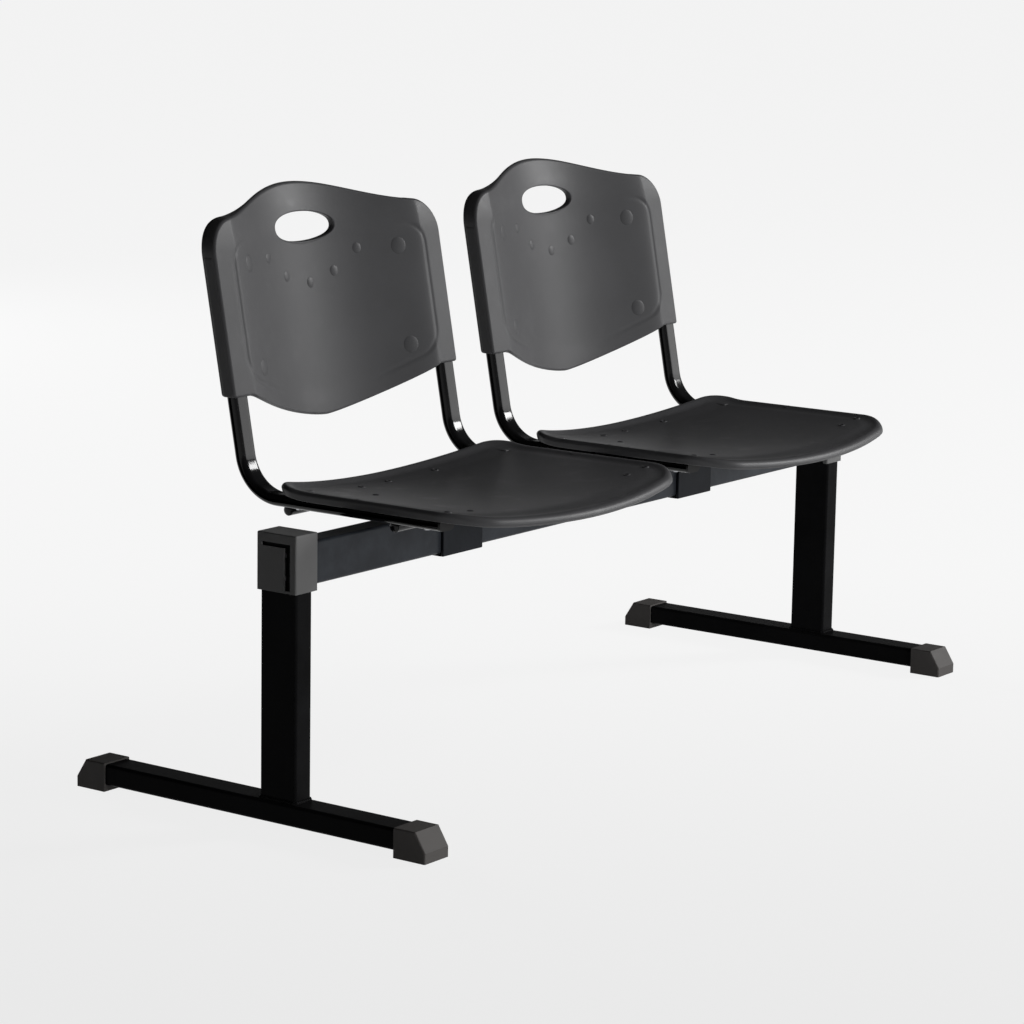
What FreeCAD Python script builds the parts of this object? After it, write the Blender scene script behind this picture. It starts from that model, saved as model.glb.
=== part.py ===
"""Two-seat beam bench: steel beam on two inverted-T legs, moulded seats and backrests.

Millimetres, +Z up. The origin is on the floor, midway between the legs, under the middle
of the whole from front to rear. +X runs along the beam, the seats face -Y. Places in Y are
first measured from the middle of the feet, and every piece is moved once, as it is saved.
"""
import FreeCAD
import Part
import math
import os

V = FreeCAD.Vector

# beam
LEG_PITCH = 1240.0
BEAM_HEIGHT = 54.0
BEAM_DEPTH = 34.0
BEAM_WALL = 2.5
BEAM_BOTTOM = 300.0
BEAM_CORNER = 4.0

# legs
POST_DEPTH = 56.0
POST_WIDTH = 30.0
POST_WALL = 2.0
POST_CORNER = 3.0
POST_ABOVE_BEAM = 8.0
POST_Y = -46.0
BEAM_Y = POST_Y - 6.0

# feet
FOOT_LENGTH = 556.0
FOOT_WIDTH = 42.0
FOOT_HEIGHT = 27.0
FOOT_WALL = 2.0
FOOT_CORNER = 4.0
FOOT_CAP_WIDTH = 47.0
FOOT_CAP_HEIGHT = 37.0
FOOT_CAP_LENGTH = 47.0
FOOT_CAP_NOSE = 15.0
FOOT_CLEARANCE = 8.0
SPIGOT_LENGTH = 24.0

# moulded cover over each joint of beam and post
COVER_WALL = 2.2
COVER_GAP = 0.4
COVER_LENGTH = 41.5
COVER_BELOW_BEAM = 5.0
COVER_TOP = 12.5
COVER_SLOT = 9.3
COVER_SLOT_INSET = 9.3
COVER_SLOT_TOP = 5.0
COVER_SLOT_DROP = 11.6
COVER_SLOT_REAR = 7.8
COVER_FOOT = 3.0
COVER_RIB = 1.6

# end plates and leg bolts
END_PLATE = 4.0
END_PLATE_MARGIN = 2.0
LEG_BOLT = 8.0
LEG_BOLT_EDGE = 13.0

# seat stations along the beam
SEAT_PITCH = 542.0
SEAT_SHIFT = -31.0

# saddle that clamps each seat frame to the beam
SADDLE_WIDTH = 83.0
SADDLE_WALL = 4.0
SADDLE_FIT = 0.3
KEEPER = 3.0
CLAMP_BOLT = 8.0
CLAMP_BOLT_SPACING = 46.0

# seat frame
CROSS_DIAMETER = 14.0
CROSS_WALL = 1.5
CROSS_FRONT_Y = -122.0
CROSS_REAR_Y = 45.0
TUBE_WIDE = 30.0
TUBE_DEEP = 15.0
TUBE_WALL = 1.5
TUBE_FRONT_Y = -205.0
TUBE_VERTEX_Y = 99.0
TUBE_BEND = 60.0
TUBE_LEAN = 10.8
TUBE_INSET = 24.0
TUBE_TOP = 650.0
PLUG_HEAD = 3.0
PLUG_LENGTH = 14.0

# seat shell
SEAT_HALF_WIDTH = 237.0
SEAT_REAR_Y = 72.0
SEAT_REAR_BOW = 27.0
SEAT_FRONT_Y = -284.0
SEAT_FRONT_BOW = 32.0
SEAT_CORNER = 56.0
SEAT_STAND = 10.7
SEAT_DISH = 21.0
SEAT_FRONT_RISE = 10.0
SEAT_LIP_DROP = 9.0
SEAT_LIP_REACH = 46.0
SEAT_REAR_RISE = 7.0
SEAT_REAR_REACH = 55.0
SEAT_SHELL = 3.5
SEAT_SKIRT = 11.0
PAD_SIZE = 26.0
SEAT_PAD_FRONT_Y = -178.0
SEAT_PAD_REAR_Y = 20.0
SEAT_SCREW = 5.0

# backrest shell
BACK_BOTTOM = 501.0
BACK_BOW = 50.0
BACK_SHOULDER = 723.0
BACK_HUMP = 27.0
BACK_HUMP_HALF = 195.0
BACK_CORNER = 46.0
BACK_SHELL = 4.0
BACK_HOLLOW = 47.0
BACK_SLEEVE_BAND = 40.0
BACK_CURL = 7.0
BACK_CURL_FROM = 690.0
SLEEVE_WALL = 3.5
SLEEVE_CORNER = 7.0
SLEEVE_FIT = 0.25
HANDLE_WIDTH = 118.0
HANDLE_HEIGHT = 38.0
HANDLE_Z = 693.0
BACK_SCREW = 5.0
BACK_SCREW_UP = 22.0

# worked out from the sizes above
TUBE_SPACING = 2.0 * (SEAT_HALF_WIDTH - TUBE_INSET)
CROSS_LENGTH = TUBE_SPACING - TUBE_DEEP
BACK_HALF_WIDTH = TUBE_SPACING / 2.0 + TUBE_WIDE / 2.0 + 0.5 * SLEEVE_WALL
BACK_HOLLOW_HALF = BACK_HALF_WIDTH - BACK_SLEEVE_BAND
BEAM_TOP = BEAM_BOTTOM + BEAM_HEIGHT
FOOT_TOP = FOOT_CLEARANCE + FOOT_HEIGHT
POST_X = LEG_PITCH / 2.0
BEAM_FRONT = BEAM_Y - BEAM_DEPTH / 2.0
BEAM_REAR = BEAM_Y + BEAM_DEPTH / 2.0
SADDLE_TOP = BEAM_TOP + SADDLE_FIT + SADDLE_WALL
CROSS_Z = SADDLE_TOP + CROSS_DIAMETER / 2.0
TUBE_Z = CROSS_Z + CROSS_DIAMETER / 2.0 + TUBE_DEEP / 2.0
TUBE_TOP_FACE = TUBE_Z + TUBE_DEEP / 2.0
SEAT_RIM_Z = TUBE_TOP_FACE + SEAT_STAND
SEAT_BLOCK = 2.5 * (SEAT_SKIRT + SEAT_DISH)
BACK_BLOCK = 2.0 * (BACK_SHOULDER + BACK_HUMP - BACK_BOTTOM)
LEG_BOLT_SPACING = BEAM_HEIGHT - 2.0 * LEG_BOLT_EDGE
LEAN = math.radians(TUBE_LEAN)
MIDDLE_Y = (FOOT_LENGTH / 2.0 + SEAT_FRONT_Y) / 2.0
PARTS = "parts"


def save(name, shape):
    """Write one sub-part, moved so that the origin is under the middle of the whole."""
    moved = shape.copy()
    moved.translate(V(0, -MIDDLE_Y, 0))
    moved.exportStep(os.path.join(PARTS, name + ".step"))


def box(x0, x1, y0, y1, z0, z1):
    """Box between two corners."""
    return Part.makeBox(x1 - x0, y1 - y0, z1 - z0, V(x0, y0, z0))


def rounded_rectangle(width, height, radius):
    """Wire of a rectangle with round corners in the XY plane, centred on the origin."""
    a = width / 2.0
    b = height / 2.0
    r = min(radius, a * 0.999, b * 0.999)
    k = r * (1.0 - math.sqrt(0.5))
    edges = []
    corners = ((1, 1), (-1, 1), (-1, -1), (1, -1))
    for i, (sx, sy) in enumerate(corners):
        on_side = V(sx * a, sy * (b - r), 0)
        on_top = V(sx * (a - r), sy * b, 0)
        middle = V(sx * (a - k), sy * (b - k), 0)
        start, end = (on_side, on_top) if i % 2 == 0 else (on_top, on_side)
        edges.append(Part.Arc(start, middle, end).toShape())
    for i in range(4):
        after = edges[(i + 1) % 4]
        start = edges[i].Vertexes[-1].Point
        end = after.Vertexes[0].Point
        if start.distanceToPoint(end) > 1e-6:
            edges.append(Part.LineSegment(start, end).toShape())
    return Part.Wire(Part.__sortEdges__(edges))


def hollow_bar(width, height, wall, radius, length):
    """Rectangular hollow section along +Z from the origin."""
    outer = Part.Face(rounded_rectangle(width, height, radius)).extrude(V(0, 0, length))
    inner = Part.Face(rounded_rectangle(width - 2 * wall, height - 2 * wall, max(radius - wall, 0.8)))
    return outer.cut(inner.extrude(V(0, 0, length)))


def along_x(shape):
    """Turn a bar made along +Z so that it runs along +X, with its width along Y."""
    turned = shape.copy()
    turned.rotate(V(0, 0, 0), V(0, 1, 0), 90)
    turned.rotate(V(0, 0, 0), V(1, 0, 0), 90)
    return turned


def along_y(shape):
    """Turn a bar made along +Z so that it runs along +Y, with its width along X."""
    turned = shape.copy()
    turned.rotate(V(0, 0, 0), V(1, 0, 0), -90)
    return turned


def at(shape, x, y, z):
    """Copy of a shape, moved."""
    moved = shape.copy()
    moved.translate(V(x, y, z))
    return moved


def screw(diameter, length, head_diameter, head_height, where, direction):
    """Plain fastener: head face at `where`, shank along `direction`."""
    shank = Part.makeCylinder(diameter / 2.0, length, where, direction)
    head = Part.makeCylinder(head_diameter / 2.0, head_height, where, direction * -1)
    return head.fuse(shank).removeSplitter()


def hex_bolt(diameter, length, where, direction):
    """Bolt with a hexagon head: underside of the head at `where`, shank along `direction`."""
    across = diameter * 1.6
    radius = across / math.sqrt(3.0)
    points = [V(radius * math.cos(math.radians(60 * i)), radius * math.sin(math.radians(60 * i)), 0)
              for i in range(7)]
    head = Part.Face(Part.makePolygon(points)).extrude(V(0, 0, -diameter * 0.65))
    bolt = head.fuse(Part.makeCylinder(diameter / 2.0, length))
    turn = FreeCAD.Rotation(V(0, 0, 1), direction)
    bolt.Placement = FreeCAD.Placement(where, turn)
    return bolt


def spline_face(grid):
    """Smooth face through a grid of points."""
    surface = Part.BSplineSurface()
    surface.interpolate(grid)
    return surface


def slab(grid_a, grid_b):
    """Closed solid between two smooth faces whose grids match point for point."""
    a = spline_face(grid_a)
    b = spline_face(grid_b)
    faces = [a.toShape(), b.toShape()]
    for value in (a.bounds()[0], a.bounds()[1]):
        faces.append(Part.makeRuledSurface(a.uIso(value).toShape(), b.uIso(value).toShape()))
    for value in (a.bounds()[2], a.bounds()[3]):
        faces.append(Part.makeRuledSurface(a.vIso(value).toShape(), b.vIso(value).toShape()))
    shell = Part.makeShell(faces)
    shell.sewShape()
    solid = Part.makeSolid(shell)
    if solid.Volume < 0:
        solid.reverse()
    return solid


def steps(low, high, count):
    """Evenly spaced values, ends included."""
    return [low + (high - low) * i / (count - 1.0) for i in range(count)]


# Seat shell


def seat_height(x, y):
    """Height of the seat's top face: dished across, rising to the front, rolled at its ends."""
    length = SEAT_REAR_Y - SEAT_FRONT_Y
    forward = min(max((SEAT_REAR_Y - y) / length, 0.0), 1.15)
    middle = SEAT_RIM_Z - SEAT_DISH + SEAT_FRONT_RISE * forward ** 3
    across = min(abs(x) / SEAT_HALF_WIDTH, 1.08)
    height = middle + (SEAT_RIM_Z - middle) * across ** 2.2
    front = SEAT_FRONT_Y + SEAT_FRONT_BOW * (min(abs(x), SEAT_HALF_WIDTH) / SEAT_HALF_WIDTH) ** 2
    lip = max(0.0, (front + SEAT_LIP_REACH - y) / SEAT_LIP_REACH)
    rear = SEAT_REAR_Y - SEAT_REAR_BOW * min(across, 1.0) ** 2
    curl = max(0.0, (y - rear + SEAT_REAR_REACH) / SEAT_REAR_REACH)
    roll = SEAT_LIP_DROP * (1.0 - 0.75 * min(across, 1.0) ** 2)
    return height - roll * min(lip, 1.3) ** 2 + SEAT_REAR_RISE * min(curl, 1.3) ** 2


def bowed_outline(half_width, rear, rear_bow, front, front_bow, corner):
    """Seat outline in plan: straight sides, bowed front and rear, round corners."""
    points = {
        "rear_right": V(half_width, rear - rear_bow, 0), "rear": V(0, rear, 0),
        "rear_left": V(-half_width, rear - rear_bow, 0),
        "front_left": V(-half_width, front + front_bow, 0), "front": V(0, front, 0),
        "front_right": V(half_width, front + front_bow, 0)}
    rear_arc = Part.Arc(points["rear_right"], points["rear"], points["rear_left"]).toShape()
    front_arc = Part.Arc(points["front_left"], points["front"], points["front_right"]).toShape()
    left = Part.LineSegment(points["rear_left"], points["front_left"]).toShape()
    right = Part.LineSegment(points["front_right"], points["rear_right"]).toShape()
    face = Part.Face(Part.Wire([rear_arc, left, front_arc, right]))
    deep = 1.6 * SEAT_BLOCK
    block = face.extrude(V(0, 0, deep))
    upright = [e for e in block.Edges if abs(e.BoundBox.ZLength - deep) < 1e-6
               and e.BoundBox.XLength < 1e-6 and e.BoundBox.YLength < 1e-6]
    return block.makeFillet(corner, upright)


def seat_slab(drop_top, drop_bottom):
    """Solid that follows the seat's top face between two drops below it."""
    xs = steps(-SEAT_HALF_WIDTH - 6, SEAT_HALF_WIDTH + 6, 15)
    ys = steps(SEAT_FRONT_Y - 6, SEAT_REAR_Y + 6, 17)
    top = [[V(x, y, seat_height(x, y) - drop_top) for y in ys] for x in xs]
    bottom = [[V(x, y, seat_height(x, y) - drop_bottom) for y in ys] for x in xs]
    return slab(top, bottom)


def seat_shell():
    """Moulded seat: thin dished shell, deep skirt all round and four pads over the tubes."""
    outline = bowed_outline(SEAT_HALF_WIDTH, SEAT_REAR_Y, SEAT_REAR_BOW, SEAT_FRONT_Y,
                            SEAT_FRONT_BOW, SEAT_CORNER)
    inside = bowed_outline(SEAT_HALF_WIDTH - SEAT_SHELL, SEAT_REAR_Y - SEAT_SHELL, SEAT_REAR_BOW,
                           SEAT_FRONT_Y + SEAT_SHELL, SEAT_FRONT_BOW, SEAT_CORNER - SEAT_SHELL)
    base = SEAT_RIM_Z - SEAT_BLOCK
    shell = seat_slab(0.0, SEAT_SKIRT).common(at(outline, 0, 0, base))
    shell = shell.cut(seat_slab(SEAT_SHELL, SEAT_SKIRT + 30).common(at(inside, 0, 0, base)))
    pads = []
    for side in (-1, 1):
        for y in (SEAT_PAD_FRONT_Y, SEAT_PAD_REAR_Y):
            x = side * TUBE_SPACING / 2.0
            half = PAD_SIZE / 2.0
            pads.append(box(x - half, x + half, y - half, y + half, TUBE_TOP_FACE, SEAT_RIM_Z))
    under = seat_slab(SEAT_SHELL - 0.8, SEAT_SKIRT + 30)
    for pad in pads:
        shell = shell.fuse(pad.common(under))
    notch = TUBE_WIDE / 2.0 + 1.0
    for side in (-1, 1):
        x = side * TUBE_SPACING / 2.0
        shell = shell.cut(box(x - notch, x + notch, 0, SEAT_REAR_Y + 10,
                              SEAT_RIM_Z - SEAT_BLOCK, TUBE_TOP_FACE))
    for side in (-1, 1):
        for y in (SEAT_PAD_FRONT_Y, SEAT_PAD_REAR_Y):
            hole = Part.makeCylinder(SEAT_SCREW / 2.0, SEAT_SHELL + 2,
                                     V(side * TUBE_SPACING / 2.0, y, TUBE_TOP_FACE - 1))
            shell = shell.cut(hole)
    return shell


# Backrest shell


def lean_y(z):
    """Y of the side tubes' centre line on their upright stretch."""
    return TUBE_VERTEX_Y + (z - TUBE_Z) * math.tan(LEAN)


def back_front_y(x, z):
    """Y of the backrest's front face: leans back, hollow across, curled at the top."""
    across = min(abs(x) / BACK_HOLLOW_HALF, 1.0)
    hollow = BACK_HOLLOW * (1.0 - across ** 2) ** 1.3
    curl = BACK_CURL * max(0.0, (z - BACK_CURL_FROM) / 60.0) ** 2
    return lean_y(z) - TUBE_DEEP / 2.0 - SLEEVE_WALL + hollow + curl


def back_slab(behind_a, behind_b):
    """Solid that follows the backrest's front face between two distances behind it."""
    xs = steps(-BACK_HALF_WIDTH - 6, BACK_HALF_WIDTH + 6, 19)
    zs = steps(BACK_BOTTOM - BACK_BOW - 6, BACK_SHOULDER + BACK_HUMP + 6, 13)
    front = [[V(x, back_front_y(x, z) + behind_a, z) for z in zs] for x in xs]
    rear = [[V(x, back_front_y(x, z) + behind_b, z) for z in zs] for x in xs]
    return slab(front, rear)


def back_outline():
    """Prism of the backrest's outline: hump at the top, bow at the bottom, flat sleeve ends."""
    sleeve = BACK_HALF_WIDTH - 2 * SLEEVE_WALL - TUBE_WIDE
    top = []
    for x in steps(-BACK_HALF_WIDTH, BACK_HALF_WIDTH, 21):
        share = min(abs(x) / BACK_HUMP_HALF, 1.0)
        top.append(V(x, 0, BACK_SHOULDER + BACK_HUMP * 0.5 * (1 + math.cos(math.pi * share))
                     - 6.0 * (abs(x) / BACK_HALF_WIDTH) ** 3))
    bottom = []
    for x in steps(sleeve, -sleeve, 13):
        share = abs(x) / sleeve
        bottom.append(V(x, 0, BACK_BOTTOM - BACK_BOW * (1 - share ** 1.5)))
    upper = Part.BSplineCurve()
    upper.interpolate(top)
    lower = Part.BSplineCurve()
    lower.interpolate(bottom)
    right = V(BACK_HALF_WIDTH, 0, BACK_BOTTOM)
    left = V(-BACK_HALF_WIDTH, 0, BACK_BOTTOM)
    edges = [upper.toShape(),
             Part.LineSegment(top[-1], right).toShape(),
             Part.LineSegment(right, bottom[0]).toShape(),
             lower.toShape(),
             Part.LineSegment(bottom[-1], left).toShape(),
             Part.LineSegment(left, top[0]).toShape()]
    block = Part.Face(Part.Wire(edges)).extrude(V(0, BACK_BLOCK, 0))
    level = [e for e in block.Edges if abs(e.BoundBox.YLength - BACK_BLOCK) < 1e-6
             and e.BoundBox.ZMin > (BACK_BOTTOM + BACK_SHOULDER) / 2.0]
    return block.makeFillet(BACK_CORNER, level)


def lean_placement(x, z):
    """Placement whose +Z follows the leaning tubes and whose +X is the world's."""
    turn = FreeCAD.Rotation(V(1, 0, 0), -TUBE_LEAN)
    return FreeCAD.Placement(V(x, lean_y(z), z), turn)


def sleeve(side):
    """Solid sleeve round one side tube."""
    profile = rounded_rectangle(TUBE_WIDE + 2 * SLEEVE_WALL, TUBE_DEEP + 2 * SLEEVE_WALL, SLEEVE_CORNER)
    bar = Part.Face(profile).extrude(V(0, 0, 1.2 * (BACK_SHOULDER + BACK_HUMP - BACK_BOTTOM)))
    bar.Placement = lean_placement(side * TUBE_SPACING / 2.0, BACK_BOTTOM - 12)
    return bar


def sleeve_bore(side):
    """Bore of one sleeve, closed above the tube's end."""
    fit = 2 * SLEEVE_FIT
    profile = rounded_rectangle(TUBE_WIDE + fit, TUBE_DEEP + fit, (TUBE_DEEP + fit) / 2.0)
    length = (TUBE_TOP + 1 - BACK_BOTTOM + 30) / math.cos(LEAN)
    bar = Part.Face(profile).extrude(V(0, 0, length))
    bar.Placement = lean_placement(side * TUBE_SPACING / 2.0, BACK_BOTTOM - 30)
    return bar


def handle_cutter():
    """Prism of the hand hole: flat above, round below, soft ends."""
    a = HANDLE_WIDTH / 2.0
    b = HANDLE_HEIGHT / 2.0
    z = HANDLE_Z
    left = V(-a, 0, z)
    right = V(a, 0, z)
    upper = Part.BSplineCurve()
    upper.interpolate([left, V(-a * 0.72, 0, z + b * 0.78), V(0, 0, z + b),
                       V(a * 0.72, 0, z + b * 0.78), right])
    lower = Part.BSplineCurve()
    lower.interpolate([right, V(a * 0.74, 0, z - b * 0.62), V(0, 0, z - b),
                       V(-a * 0.74, 0, z - b * 0.62), left])
    wire = Part.Wire([upper.toShape(), lower.toShape()])
    return Part.Face(wire).extrude(V(0, BACK_BLOCK, 0))


def backrest():
    """Moulded backrest: thin hollow shell with two sleeves that slide down over the side tubes."""
    body = back_slab(0.0, BACK_SHELL)
    for side in (-1, 1):
        body = body.fuse(sleeve(side))
    body = body.common(back_outline())
    for side in (-1, 1):
        body = body.cut(sleeve_bore(side))
    body = body.cut(handle_cutter())
    for side in (-1, 1):
        body = body.cut(back_screw(side, BACK_SCREW))
    return body


def back_screw(side, diameter):
    """Self-tapping screw that pins one sleeve to its tube from behind."""
    z = BACK_BOTTOM + BACK_SCREW_UP
    direction = V(0, -math.cos(LEAN), math.sin(LEAN))
    centre = V(side * TUBE_SPACING / 2.0, lean_y(z), z)
    head = centre - direction * (TUBE_DEEP / 2.0 + SLEEVE_WALL)
    return screw(diameter, SLEEVE_WALL + TUBE_DEEP * 0.6, diameter * 1.8, 2.0, head, direction)


# Seat frame


def bent_oval(wide, deep):
    """Flat-oval bar along the seat, round the bend and up the back, in the plane X = 0."""
    turn = math.pi / 2.0 - LEAN
    reach = TUBE_BEND * math.tan(turn / 2.0)
    bend_y = TUBE_VERTEX_Y - reach
    profile = Part.Face(rounded_rectangle(wide, deep, deep / 2.0))
    flat = profile.copy()
    flat.rotate(V(0, 0, 0), V(1, 0, 0), 90)
    flat.translate(V(0, bend_y, TUBE_Z))
    seat_run = flat.extrude(V(0, TUBE_FRONT_Y - bend_y, 0))
    bend = flat.revolve(V(0, bend_y, TUBE_Z + TUBE_BEND), V(1, 0, 0), math.degrees(turn))
    up = V(0, math.sin(LEAN), math.cos(LEAN))
    rise = (TUBE_TOP - TUBE_Z) / math.cos(LEAN) - reach
    back_run = profile.extrude(V(0, 0, rise))
    start = V(0, TUBE_VERTEX_Y, TUBE_Z) + up * reach
    back_run.Placement = FreeCAD.Placement(start, FreeCAD.Rotation(V(1, 0, 0), -TUBE_LEAN))
    return seat_run.fuse([bend, back_run])


def side_tube(side):
    """Bent flat-oval tube that carries the seat and the backrest."""
    bore = bent_oval(TUBE_WIDE - 2 * TUBE_WALL, TUBE_DEEP - 2 * TUBE_WALL)
    tube = at(bent_oval(TUBE_WIDE, TUBE_DEEP).cut(bore), side * TUBE_SPACING / 2.0, 0, 0)
    for y in (SEAT_PAD_FRONT_Y, SEAT_PAD_REAR_Y):
        tube = tube.cut(Part.makeCylinder(SEAT_SCREW / 2.0, TUBE_DEEP + 4,
                                          V(side * TUBE_SPACING / 2.0, y, TUBE_Z - TUBE_DEEP / 2.0 - 2)))
    return tube.cut(back_screw(side, BACK_SCREW))


def cross_tube(y):
    """Round tube across the frame, under the side tubes."""
    end = V(-CROSS_LENGTH / 2.0, y, CROSS_Z)
    outer = Part.makeCylinder(CROSS_DIAMETER / 2.0, CROSS_LENGTH, end, V(1, 0, 0))
    inner = Part.makeCylinder(CROSS_DIAMETER / 2.0 - CROSS_WALL, CROSS_LENGTH, end, V(1, 0, 0))
    return outer.cut(inner)


def cross_plugs():
    """Four domed plugs in the ends of the two cross tubes."""
    plugs = []
    bore = CROSS_DIAMETER / 2.0 - CROSS_WALL
    for y in (CROSS_FRONT_Y, CROSS_REAR_Y):
        for side in (-1, 1):
            face = V(side * CROSS_LENGTH / 2.0, y, CROSS_Z)
            head = Part.makeCone(CROSS_DIAMETER / 2.0, CROSS_DIAMETER / 3.2, PLUG_HEAD, face, V(side, 0, 0))
            plugs.append(head.fuse(Part.makeCylinder(bore, PLUG_LENGTH, face, V(-side, 0, 0))))
    return Part.makeCompound(plugs)


def side_plugs():
    """Plugs in the front ends of the two side tubes."""
    plugs = []
    for side in (-1, 1):
        outer = rounded_rectangle(TUBE_WIDE, TUBE_DEEP, TUBE_DEEP / 2.0)
        inner = rounded_rectangle(TUBE_WIDE - 2 * TUBE_WALL, TUBE_DEEP - 2 * TUBE_WALL,
                                  TUBE_DEEP / 2.0 - TUBE_WALL)
        head = Part.Face(outer).extrude(V(0, 0, PLUG_HEAD))
        stem = Part.Face(inner).extrude(V(0, 0, -PLUG_LENGTH))
        plug = head.fuse(stem)
        plug.rotate(V(0, 0, 0), V(1, 0, 0), 90)
        plugs.append(at(plug, side * TUBE_SPACING / 2.0, TUBE_FRONT_Y, TUBE_Z))
    return Part.makeCompound(plugs)


def saddle():
    """Folded steel saddle: legs hang over the beam, wings carry the two cross tubes."""
    half = SADDLE_WIDTH / 2.0
    front = BEAM_FRONT - SADDLE_FIT
    rear = BEAM_REAR + SADDLE_FIT
    low = BEAM_BOTTOM - SADDLE_FIT - KEEPER
    plate = box(-half, half, CROSS_FRONT_Y - CROSS_DIAMETER / 2.0, CROSS_REAR_Y + CROSS_DIAMETER / 2.0,
                BEAM_TOP + SADDLE_FIT, SADDLE_TOP)
    body = plate.fuse(box(-half, half, front - SADDLE_WALL, front, low, SADDLE_TOP))
    body = body.fuse(box(-half, half, rear, rear + SADDLE_WALL, low, SADDLE_TOP)).removeSplitter()
    for x in clamp_bolt_places():
        body = body.cut(Part.makeCylinder(CLAMP_BOLT / 2.0, SADDLE_WALL + 2,
                                          V(x, rear - 1, BEAM_BOTTOM + BEAM_HEIGHT / 2.0), V(0, 1, 0)))
    return body


def clamp_bolt_places():
    """Places of the clamp bolts along a saddle."""
    return (-CLAMP_BOLT_SPACING / 2.0, CLAMP_BOLT_SPACING / 2.0)


def keeper_plate():
    """Plate welded between the saddle's legs under the beam."""
    half = SADDLE_WIDTH / 2.0
    return box(-half, half, BEAM_FRONT - SADDLE_FIT, BEAM_REAR + SADDLE_FIT,
               BEAM_BOTTOM - SADDLE_FIT - KEEPER, BEAM_BOTTOM - SADDLE_FIT)


def clamp_bolts():
    """Two bolts that press through the saddle's rear leg into the beam's rear wall."""
    rear = BEAM_REAR + SADDLE_FIT + SADDLE_WALL
    length = SADDLE_WALL + SADDLE_FIT + BEAM_WALL + 6
    return Part.makeCompound([hex_bolt(CLAMP_BOLT, length, V(x, rear, BEAM_BOTTOM + BEAM_HEIGHT / 2.0),
                                       V(0, -1, 0)) for x in clamp_bolt_places()])


def seat_screws():
    """Four screws up through the side tubes into the seat's pads."""
    low = TUBE_Z - TUBE_DEEP / 2.0
    screws = []
    for side in (-1, 1):
        for y in (SEAT_PAD_FRONT_Y, SEAT_PAD_REAR_Y):
            where = V(side * TUBE_SPACING / 2.0, y, low)
            screws.append(screw(SEAT_SCREW, TUBE_DEEP + SEAT_SHELL, SEAT_SCREW * 1.8, 2.2, where,
                                V(0, 0, 1)))
    return Part.makeCompound(screws)


def back_screws():
    """The two screws that pin a backrest."""
    return Part.makeCompound([back_screw(side, BACK_SCREW) for side in (-1, 1)])


# Beam and legs


def beam():
    """Rectangular tube between the posts, bored for the clamp bolts."""
    length = LEG_PITCH - POST_WIDTH - 2 * END_PLATE
    tube = along_x(hollow_bar(BEAM_DEPTH, BEAM_HEIGHT, BEAM_WALL, BEAM_CORNER, length))
    tube = at(tube, -length / 2.0, BEAM_Y, BEAM_BOTTOM + BEAM_HEIGHT / 2.0)
    for station in seat_stations():
        for x in clamp_bolt_places():
            tube = tube.cut(Part.makeCylinder(CLAMP_BOLT / 2.0, BEAM_WALL + 2,
                                              V(station + x, BEAM_REAR - BEAM_WALL - 1,
                                                BEAM_BOTTOM + BEAM_HEIGHT / 2.0), V(0, 1, 0)))
    return tube


def leg_bolt_heights():
    """Heights of the two bolts that hold the beam's end plate to the post."""
    middle = BEAM_BOTTOM + BEAM_HEIGHT / 2.0
    return (middle - LEG_BOLT_SPACING / 2.0, middle + LEG_BOLT_SPACING / 2.0)


def end_plate(side):
    """Plate welded in the end of the beam, against the inner face of the post."""
    inner = side * (POST_X - POST_WIDTH / 2.0 - END_PLATE)
    outer = side * (POST_X - POST_WIDTH / 2.0)
    grow = END_PLATE_MARGIN
    plate = box(min(inner, outer), max(inner, outer), BEAM_FRONT - grow, BEAM_REAR + grow,
                BEAM_BOTTOM - grow, BEAM_TOP + grow)
    for z in leg_bolt_heights():
        plate = plate.cut(Part.makeCylinder(LEG_BOLT / 2.0, END_PLATE + 2,
                                            V(min(inner, outer) - 1, BEAM_Y, z), V(1, 0, 0)))
    return plate


def leg_bolts(side):
    """Two bolts through the post into the beam's end plate, with their nuts."""
    bolts = []
    outer = side * (POST_X + POST_WIDTH / 2.0)
    for z in leg_bolt_heights():
        length = POST_WIDTH + END_PLATE + 9
        bolt = screw(LEG_BOLT, length, LEG_BOLT * 1.7, 1.2, V(outer, BEAM_Y, z), V(-side, 0, 0))
        nut = hex_bolt(LEG_BOLT, 0.5, V(side * (POST_X - POST_WIDTH / 2.0 - END_PLATE), BEAM_Y, z),
                       V(side, 0, 0))
        bolts.append(bolt.fuse(nut))
    return Part.makeCompound(bolts)


def post(side):
    """Upright rectangular tube on the foot, bored for the beam's bolts."""
    height = BEAM_TOP + POST_ABOVE_BEAM - FOOT_TOP
    tube = hollow_bar(POST_WIDTH, POST_DEPTH, POST_WALL, POST_CORNER, height)
    tube = at(tube, side * POST_X, POST_Y, FOOT_TOP)
    for z in leg_bolt_heights():
        tube = tube.cut(Part.makeCylinder(LEG_BOLT / 2.0, POST_WIDTH + 4,
                                          V(side * POST_X - POST_WIDTH / 2.0 - 2, BEAM_Y, z), V(1, 0, 0)))
    return tube


def foot_tube(side):
    """Flat rectangular tube across the floor, open at both ends for the caps."""
    length = FOOT_LENGTH - 2 * FOOT_CAP_LENGTH
    tube = along_y(hollow_bar(FOOT_WIDTH, FOOT_HEIGHT, FOOT_WALL, FOOT_CORNER, length))
    return at(tube, side * POST_X, -length / 2.0, FOOT_CLEARANCE + FOOT_HEIGHT / 2.0)


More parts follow.
